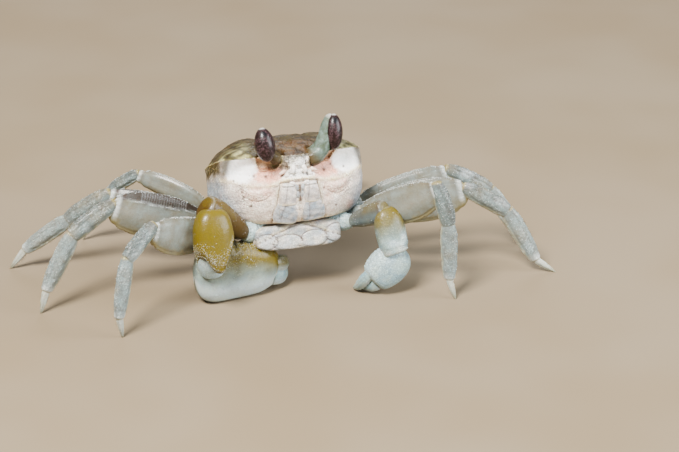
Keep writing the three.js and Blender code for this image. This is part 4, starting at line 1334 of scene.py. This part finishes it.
def arm_marks(part, major, grid, t, a):
    """Colours of a segment of a claw arm, and the density, number and sizes of its granules."""
    h, c = np.sin(a), np.cos(a)
    wave = 0.12 * ripple(grid, 3.0, 21)
    small = 0.5 * ripple(grid, 1.1, 22)
    loose = 0.3 + step(0.6, 0.95, h) + 4.0 * bell(t - 0.93, 0.015)
    if part == "ischium":
        rings = 0.6 * bell(t - 0.3, 0.025) + 0.5 * bell(t - 0.62, 0.02) + 0.4 * bell(t - 0.9, 0.015)
        marks = {"white": 0.15 + 0.25 * small, "granular": 0.8, "edge": 0.3 * step(0.8, 1.0, t),
                 "joint": step(0.95, 0.99, t), "dark": rings}
        return marks, loose, 120, (0.08, 0.14)
    if part == "merus":
        yellow = step(0.3, 0.75, t + wave)
        amber = (0.9 + 0.1 * yellow) * (1.0 if major else 0.45 * step(-0.2, 0.6, h))
        marks = {"amber": amber, "ochre": 0.35 * yellow * step(0.0, 0.8, h), "top": 0.0 if major else 0.8,
                 "white": 0.1 * bell(t - 0.955, 0.012), "granular": 0.1 + 0.25 * step(0.3, 0.8, h),
                 "edge": 0.4 * step(-0.5, -0.9, h) * (not major),
                 "joint": 0.3 * step(0.965, 0.99, t) * (not major),
                 "dark": 0.6 * bell(t - 0.90, 0.018) + 0.4 * step(1.1, 1.5, ripple(grid, 0.9, 23))}
        return marks, loose, 200, (0.08, 0.15)
    rim = step(0.83, 0.93, t + 0.5 * wave)
    beaded = step(0.5, 0.8, t + wave) * step(1.0, 0.7, np.abs(turn_from(a, 5.2)) / 1.9)
    if major:
        amber = 0.35 * step(0.25, 0.05, t) + 0.25 * step(0.2, 0.6, c) * step(0.8, 0.2, t)
        marks = {"ochre": 0.98 - 0.1 * rim, "amber": amber, "white": 0.0,
                 "granular": np.clip(0.06 + 0.6 * beaded + 0.2 * rim, 0, 1)}
    else:
        marks = {"ochre": 0.8 * step(0.85, 0.2, t + 0.5 * wave) + 0.1, "amber": 0.2 * step(0.25, 0.05, t),
                 "white": 0.4 * step(0.6, 0.95, t + wave), "granular": 0.5 + 0.3 * rim, "edge": 0.4 * rim}
    marks["joint"] = 0.3 * step(0.985, 1.0, t)
    marks["dark"] = 0.2 * bell(t - 0.86, 0.012) + 0.7 * bell(t - 0.15 - 0.02 * small, 0.01) * major
    density = (0.03 + beaded) * (0.2 + step(0.5, 0.8, t)) + 5.0 * bell(t - 0.915, 0.012)
    density = density + 3.0 * bell(t - 0.17, 0.008)
    density = density + 1.5 * bell(a - WRIST_CORNER, 0.08) * step(0.45, 0.6, t)
    count, sizes = (1000, (0.06, 0.13)) if major else (420, (0.07, 0.14))
    return marks, density, count, sizes


def build_arm_part(part, side, spec, major, material, rng):
    """One segment of a claw arm, with its lip, edges and granules. A wrist has a flat front and a
    beaded far rim drawn out into a tooth at the inner front corner."""
    if part == "carpus":
        spec = {**spec, "square": 2.7, "blunt": (3.2 if major else 2.8, 7)}
    grid, t, a = limb_grid(spec, 120, 96, arm_push(part, major), arm_pull(part, major))
    marks, density, count, sizes = arm_marks(part, major, grid, t, a)
    density = density * step(0.04, 0.1, t) * step(0.975, 0.96, t)
    parts = [closed(grid, marks), granules(grid, marks, density, count, sizes, rng, white=(0.0, 0.36))]
    if part == "ischium":
        parts += coxa_parts(spec, 1.0 if major else 0.85)
    if part == "carpus" and major:
        wrist = np.array(spec["end"]) + WRIST_KNOB
        knob, t, a = sweep_grid(wrist, (2.6, 3.3, 3.0), (2.7, 3.3, 3.0), (1, 0, 0), 60, 48, reach=0.2)
        parts.append(closed(knob, {"ochre": 0.4 * step(0.6, 0.2, t), "white": 0.2, "granular": 0.4}))
    add_piece(f"{part}_shell_claw_{side}", parts, material, (f"{part}_claw_{side}",))


def palm_push(major, size):
    """Relief of a palm: a keel below, a toothed crest above, a cuff at the fingers and a dip before it."""
    def push(t, a):
        h = np.sin(a)
        keel = 0.24 * bell(h + 0.9, 0.12) * step(0.1, 0.3, t)
        saw = 0.3 + (0.2 if major else 0.06) * np.sin(2 * math.pi * 13 * t)
        crest = saw * bell(h - 0.97, 0.08) * step(0.08, 0.2, t)
        cuff = 0.10 * bell(t - 0.93, 0.02) - 0.12 * bell(t - 0.965, 0.012)
        dip = -0.35 * bell(np.cos(a) - 0.8, 0.3) * bell(h - 0.3, 0.3) * bell(t - 0.5, 0.25)
        return (keel + crest + cuff + dip) * size * step(1.0, 0.97, t)
    return push


def palm_marks(major, grid, t, a):
    """Colours of a palm and the density of its granules: rough above and smooth below."""
    h = np.sin(a)
    wave = 0.2 * ripple(grid, 3.4, 31)
    small = 0.5 * ripple(grid, 1.2, 32)
    rough = np.clip(step(0.05, 0.55, h + wave) * step(0.9, 0.62, t + 0.1 * small), 0, 1)
    if major:
        edge = 0.5 * step(-0.70, -0.95, h + wave) + 0.6 * bell(t - 0.97, 0.01)
        marks = {"ochre": step(-0.75, 0.75, h + 0.3 * wave) * step(-0.1, 0.15, t), "edge": edge,
                 "amber": 0.5 * step(-0.84, -0.99, h),
                 # white over the lower half: partly the palm's own blue-white, partly painted light that
                 # lifts the shade under the palm
                 "white": 0.45 * step(0.1, -0.5, h) * step(-0.98, -0.75, h),
                 "granular": np.clip(rough * 0.9 + 0.05, 0, 1)}
    else:
        marks = {"ochre": 0.15 * step(0.2, 0.0, t), "tip": 0.3 * step(0.88, 1.0, t),
                 "edge": 0.5 * step(-0.8, -0.98, h) + 0.4 * step(0.85, 0.98, t),
                 "white": 0.08 + 0.15 * step(-0.2, 0.8, h), "granular": 0.6 + 0.3 * step(-0.2, 0.6, h),
                 "dark": 0.3 * bell(t - 0.972, 0.01)}
    density = rough * (1 + step(0.45, 0.1, t)) + 0.03 + (0 if major else 0.5)
    density = density * step(0.02, 0.08, t) * step(0.97, 0.9, t)
    density = density + 1.2 * bell(h - 0.97, 0.05) * step(0.06, 0.12, t) * step(0.95, 0.9, t)
    return marks, density


def build_hand(side, claw, major, material, rng):
    """Palm with its fixed finger, granular above, smooth below; and the moving finger."""
    way = toward(claw["up"], 0)
    up = np.array((0, 0, 1.0))
    if not major:
        up = unit(np.cross(np.cross(way, (0, 0, 1)), toward(claw["up"], -42)))
    if up[2] < 0:
        up = -up
    size = 1.0 if major else 0.6
    grid, t, a = sweep_grid(claw["palm"], claw["palm_deep"], claw["palm_thick"], up, 180, 120,
                            square=2.4, blunt=(2.7, 2.3), push=palm_push(major, size),
                            reach=0.22 if major else 0.16)
    grid = above_floor(grid)
    marks, density = palm_marks(major, grid, t, a)
    count, sizes = (1800, (0.06, 0.15)) if major else (620, (0.06, 0.11))
    parts = [closed(grid, marks), granules(grid, marks, density, count, sizes, rng, white=(0.0, 0.36))]
    deep = claw["pollex_deep"]
    grid, t, a = sweep_grid(claw["pollex"], deep, tuple(0.8 * v for v in deep), up, 80, 56,
                            blunt=(2.5, 2.0), push=digit_push(size, 1))
    grid = above_floor(grid)
    parts.append(closed(grid, digit_marks(grid, t, a, 0.15)))
    add_piece(f"palm_shell_{side}", parts, material, (f"palm_{side}",))

    deep = claw["finger_deep"]
    grid, t, a = sweep_grid(claw["finger"], deep, tuple(0.8 * v for v in deep), up, 110, 64,
                            blunt=(2.2, 2.0), push=digit_push(size, -1))
    grid = above_floor(grid)
    marks = digit_marks(grid, t, a, 0.8 if major else 0.08)
    density = step(0.2, 0.8, np.sin(a)) * step(0.7, 0.4, t) * step(0.05, 0.1, t)
    fine = 0.6 + 0.4 * size
    parts = [closed(grid, marks), granules(grid, marks, density, 120 if major else 60,
                                           (0.08 * fine, 0.16 * fine), rng, white=0.15)]
    add_piece(f"finger_shell_{side}", parts, material, (f"finger_{side}",))


def digit_push(size, bite):
    """Ribs along a digit and teeth on its biting edge, which is above (1) or below (-1)."""
    def push(t, a):
        h = np.sin(a) * bite
        ribs = 0.1 * bell(h + 1, 0.1) - 0.1 * bell(np.abs(h) - 0.55, 0.12)
        teeth = 0.25 * step(0.2, 0.9, np.sin(2 * math.pi * 9 * t)) * bell(h - 0.95, 0.15)
        return (ribs + teeth) * size * step(0.1, 0.25, t) * step(1, 0.85, t)
    return push


def digit_marks(grid, t, a, yellow):
    """Colours of a digit: yellowish root and back, white below, brownish tip."""
    h = np.sin(a)
    wave = 0.1 * ripple(grid, 1.5, 33)
    return {"ochre": yellow * step(-1.2, 0.3, h) * step(1.0, 0.6, t),
            "white": 0.35 * step(0.9, 0.3, t) * step(0.2, -0.6, h), "edge": 0.35 * step(0.3, 0.8, t + wave),
            "tip": 0.55 * step(0.75, 1, t), "granular": 0.35 * step(0.7, 0.2, t),
            "joint": 0.1 * step(0.08, 0.02, t), "dark": 0.3 * bell(t - 0.05, 0.02)}


# ---------------------------------------------------------------- bristles
def bristle_skin(roots, ways, lengths, radius, sheet):
    """Tapered three-sided bristles that bend down a little: a foot ring, a middle ring and a tip."""
    count = len(roots)
    side = unit(np.cross(ways, (0.2, 0.3, 0.93)))
    other = np.cross(ways, side)
    a = np.linspace(0, 2 * math.pi, 3, endpoint=False)
    ring = side[:, None] * np.cos(a)[None, :, None] + other[:, None] * np.sin(a)[None, :, None]
    long = lengths[:, None, None]
    droop = np.array((0, 0, -0.10))
    foot = roots[:, None] + ring * radius
    mid = roots[:, None] + ways[:, None] * long * 0.55 + droop * long * 0.3 + ring * radius * 0.7
    tip = roots[:, None] + ways[:, None] * long + droop * long
    points = np.concatenate([foot, mid, tip], axis=1).reshape(-1, 3)
    j = np.arange(3)
    k = (j + 1) % 3
    quads = np.stack([j, k, 3 + k, 3 + j], -1)
    tris = np.vstack([np.stack([3 + j, 3 + k, 0 * j + 6], -1), [[0, 2, 1]]])
    base = (np.arange(count) * 7)[:, None, None]
    return {"points": points, "quads": (quads[None] + base).reshape(-1, 4),
            "tris": (tris[None] + base).reshape(-1, 3),
            "marks": {"sheet_u": np.repeat(sheet[:, 0], 7), "sheet_v": np.repeat(sheet[:, 1], 7)}}


def build_bristles(look):
    """Short bristles along the toes and shins, between the leg roots and on the mouth plates. Each
    one's patch in the OFBake map lies where its root is on an unwrap of the segments."""
    rng = np.random.default_rng(SEED + 3)
    parts = []
    rows = {"propodus": (26, 0.5, 1.1), "dactylus": (22, 0.35, 0.9), "carpus": (10, 0.35, 0.8),
            "merus": (12, 0.3, 0.7)}
    for number, key in enumerate(STANCE):
        for place, (part, spec) in enumerate(leg_segments(key)):
            if part not in rows:
                continue
            count, low, high = rows[part]
            grid, t, a = limb_grid(spec, 50, 40)
            h = np.abs(np.sin(a))
            density = step(0.8, 0.97, h) * step(0.08, 0.2, t) * step(0.97, 0.9, t) * (grid[..., 2] > 1.4)
            roots, out, (i, j) = scatter(grid, density, count, rng)
            along = unit(np.asarray(spec["end"]) - spec["start"])
            way = unit(along * 0.9 + out + rng.normal(0, 0.15, out.shape))
            sheet = np.stack([(number + a[i, j] / (2 * math.pi)) / 9, (place + t[i, j]) / 6], -1)
            parts.append(bristle_skin(roots, way, rng.uniform(low, high, count), 0.035, sheet))
    for side in ("left", "right"):
        hip = body_point(on_side((11.4, 4.4, -10.9), side))
        count = 90
        spot = rng.normal(0, 1, (count, 3)) * (0.5, 0.9, 0.5)
        way = unit(body_dir((0.9 if side == "left" else -0.9, 0.0, -0.35)) + rng.normal(0, 0.2, (count, 3)))
        sheet = np.stack([rng.uniform(0.90, 0.94, count), rng.uniform(0.05, 0.3, count)], -1)
        parts.append(bristle_skin(hip + spot, way, rng.uniform(1.2, 2.4, count), 0.035, sheet))
        count = 60
        z = rng.uniform(-6.8, 1.0, count)
        local = np.stack([rng.choice((0.35, 5.3), count) + rng.normal(0, 0.08, count),
                          -15.9 + 0.22 * (1.3 - z), z], -1)
        way = unit(body_dir((0, -0.6, -0.5)) + rng.normal(0, 0.25, (count, 3)))
        sheet = np.stack([rng.uniform(0.95, 0.99, count), (z + 8) / 20 + 0.4], -1)
        parts.append(bristle_skin(body_point(on_side(local, side)), way, rng.uniform(0.4, 0.8, count),
                                  0.03, sheet))
    obj = add_piece("bristles", parts, bristle_finish(look))
    lay_bake_map(obj, 0.003)


def lay_bake_map(obj, patch):
    """OFBake map: every bristle is a small triangle at its root's place on the sheet."""
    mesh = obj.data
    corner = np.empty(len(mesh.loops), np.int32)
    mesh.loops.foreach_get("vertex_index", corner)
    u, v = (np.empty(len(mesh.vertices), np.float32) for _ in range(2))
    mesh.attributes["sheet_u"].data.foreach_get("value", u)
    mesh.attributes["sheet_v"].data.foreach_get("value", v)
    spread = np.array([(0, 0), (1, 0), (0, 1), (0.3, 0.3), (0.8, 0.2), (0.2, 0.8), (0.5, 0.5)]) - 0.5
    place = np.stack([u, v], -1)[corner] + spread[corner % 7] * patch
    layer = mesh.uv_layers.new(name="OFBake")
    layer.uv.foreach_set("vector", place.astype(np.float32).ravel())


# ---------------------------------------------------------------- stage
def add_light(name, place, aim, size, power_w, tint):
    """A square soft light at a place, turned to shine on an aim point, both in millimetres."""
    light = bpy.data.lights.new(name, "AREA")
    light.size = size * MM
    light.energy = power_w
    light.color = tint
    obj = bpy.data.objects.new(name, light)
    bpy.context.scene.collection.objects.link(obj)
    back = unit(np.array(place, float) - np.array(aim, float))
    side = unit(np.cross((0, 0, 1), back))
    up = np.cross(back, side)
    turned = Matrix(np.stack([side, up, back], -1).tolist()).to_4x4()
    turned.translation = [v * MM for v in place]
    obj.matrix_world = turned


def build_stage(look):
    """Floor, soft lights and the camera."""
    half, count = 1.5, 3
    x, y = np.meshgrid(np.linspace(-half, half, count), np.linspace(-half, half, count), indexing="ij")
    points = np.stack([x.ravel(), y.ravel(), 0 * x.ravel()], -1)
    i, j = (n.ravel() for n in np.meshgrid(range(count - 1), range(count - 1), indexing="ij"))
    faces = np.stack([i * count + j, (i + 1) * count + j, (i + 1) * count + j + 1, i * count + j + 1], -1)
    mesh = bpy.data.meshes.new("floor")
    mesh.from_pydata(points.tolist(), [], faces.tolist())
    floor = bpy.data.objects.new("floor", mesh)
    bpy.context.scene.collection.objects.link(floor)
    mesh.materials.append(floor_finish(look))
    add_light("key_light", (-300, -330, 620), (0, 0, 15), 220, look.key, (1.0, 0.97, 0.93))
    add_light("fill_light", (420, -320, 260), (0, 0, 20), 380, look.fill, (0.9, 0.95, 1.0))
    add_light("rim_light", (120, 420, 420), (0, 0, 20), 300, look.fill * 0.25, (0.95, 0.97, 1.0))
    world = bpy.data.worlds.new("room")
    world.use_nodes = True
    world.node_tree.nodes["Background"].inputs[0].default_value = (0.92, 0.95, 1.0, 1)
    world.node_tree.nodes["Background"].inputs[1].default_value = look.room
    bpy.context.scene.world = world
    camera = bpy.data.cameras.new("camera")
    camera.sensor_width = 36
    camera.lens = CAMERA["lens"]
    camera.clip_start, camera.clip_end = 0.01, 20
    obj = bpy.data.objects.new("camera", camera)
    obj.location = [v * MM for v in CAMERA["place"]]
    obj.rotation_euler = (math.radians(CAMERA["pitch"]), 0, math.radians(CAMERA["turn"]))
    bpy.context.scene.collection.objects.link(obj)
    bpy.context.scene.camera = obj


# ---------------------------------------------------------------- operators and panel
class BuildStep:
    """One step of the build: its builder is called with the settings that it reads."""

    def execute(self, context):
        self.build(getattr(context.scene, self.look))
        return {"FINISHED"}


class CRAB_OT_back_shell(BuildStep, bpy.types.Operator):
    """Build the back shell with the face and flanks"""

    bl_idname = "crab.back_shell"
    bl_label = "Back shell"
    look = "crab_shell"
    build = staticmethod(build_back_shell)


class CRAB_OT_mouth(BuildStep, bpy.types.Operator):
    """Build the mouth plates and the feelers"""

    bl_idname = "crab.mouth"
    bl_label = "Mouth plates"
    look = "crab_shell"
    build = staticmethod(build_mouth)


class CRAB_OT_underside(BuildStep, bpy.types.Operator):
    """Build the breastplate and the tail flap"""

    bl_idname = "crab.underside"
    bl_label = "Underside"
    look = "crab_shell"
    build = staticmethod(build_underside)


class CRAB_OT_eyes(BuildStep, bpy.types.Operator):
    """Build the eyes and their stalks"""

    bl_idname = "crab.eyes"
    bl_label = "Eyes"
    look = "crab_eyes"
    build = staticmethod(build_eyes)


class CRAB_OT_legs(BuildStep, bpy.types.Operator):
    """Build the eight walking legs"""

    bl_idname = "crab.legs"
    bl_label = "Walking legs"
    look = "crab_limbs"
    build = staticmethod(build_legs)


class CRAB_OT_claws(BuildStep, bpy.types.Operator):
    """Build both claw arms"""

    bl_idname = "crab.claws"
    bl_label = "Claws"
    look = "crab_limbs"
    build = staticmethod(build_claws)


class CRAB_OT_bristles(BuildStep, bpy.types.Operator):
    """Build the bristles"""

    bl_idname = "crab.bristles"
    bl_label = "Bristles"
    look = "crab_eyes"
    build = staticmethod(build_bristles)


class CRAB_OT_stage(BuildStep, bpy.types.Operator):
    """Build the floor, lights and camera"""

    bl_idname = "crab.stage"
    bl_label = "Stage"
    look = "crab_stage"
    build = staticmethod(build_stage)


LOOKS = {"crab_shell": CrabShellLook, "crab_limbs": CrabLimbLook, "crab_eyes": CrabEyeLook,
         "crab_stage": CrabStageLook}
STEPS = (CRAB_OT_stage, CRAB_OT_back_shell, CRAB_OT_mouth, CRAB_OT_underside, CRAB_OT_eyes, CRAB_OT_legs,
         CRAB_OT_claws, CRAB_OT_bristles)


class CRAB_PT_panel(bpy.types.Panel):
    """Lists the settings and the pieces to build"""

    bl_idname = "CRAB_PT_panel"
    bl_label = "Ghost crab"
    bl_space_type = "VIEW_3D"
    bl_region_type = "UI"
    bl_category = "Crab"

    def draw(self, context):
        for name, look in LOOKS.items():
            column = self.layout.column(align=True)
            for field in look.__annotations__:
                column.prop(getattr(context.scene, name), field)
        for step_type in STEPS:
            self.layout.operator(step_type.bl_idname)


def register():
    for item in (*LOOKS.values(), *STEPS, CRAB_PT_panel):
        bpy.utils.register_class(item)
    for name, look in LOOKS.items():
        setattr(bpy.types.Scene, name, bpy.props.PointerProperty(type=look))


def unregister():
    for name in LOOKS:
        delattr(bpy.types.Scene, name)
    for item in (CRAB_PT_panel, *reversed(STEPS), *reversed(LOOKS.values())):
        bpy.utils.unregister_class(item)


def main():
    register()
    for step_type in STEPS:
        group, name = step_type.bl_idname.split(".")
        getattr(getattr(bpy.ops, group), name)()


if __name__ == "__main__":
    main()
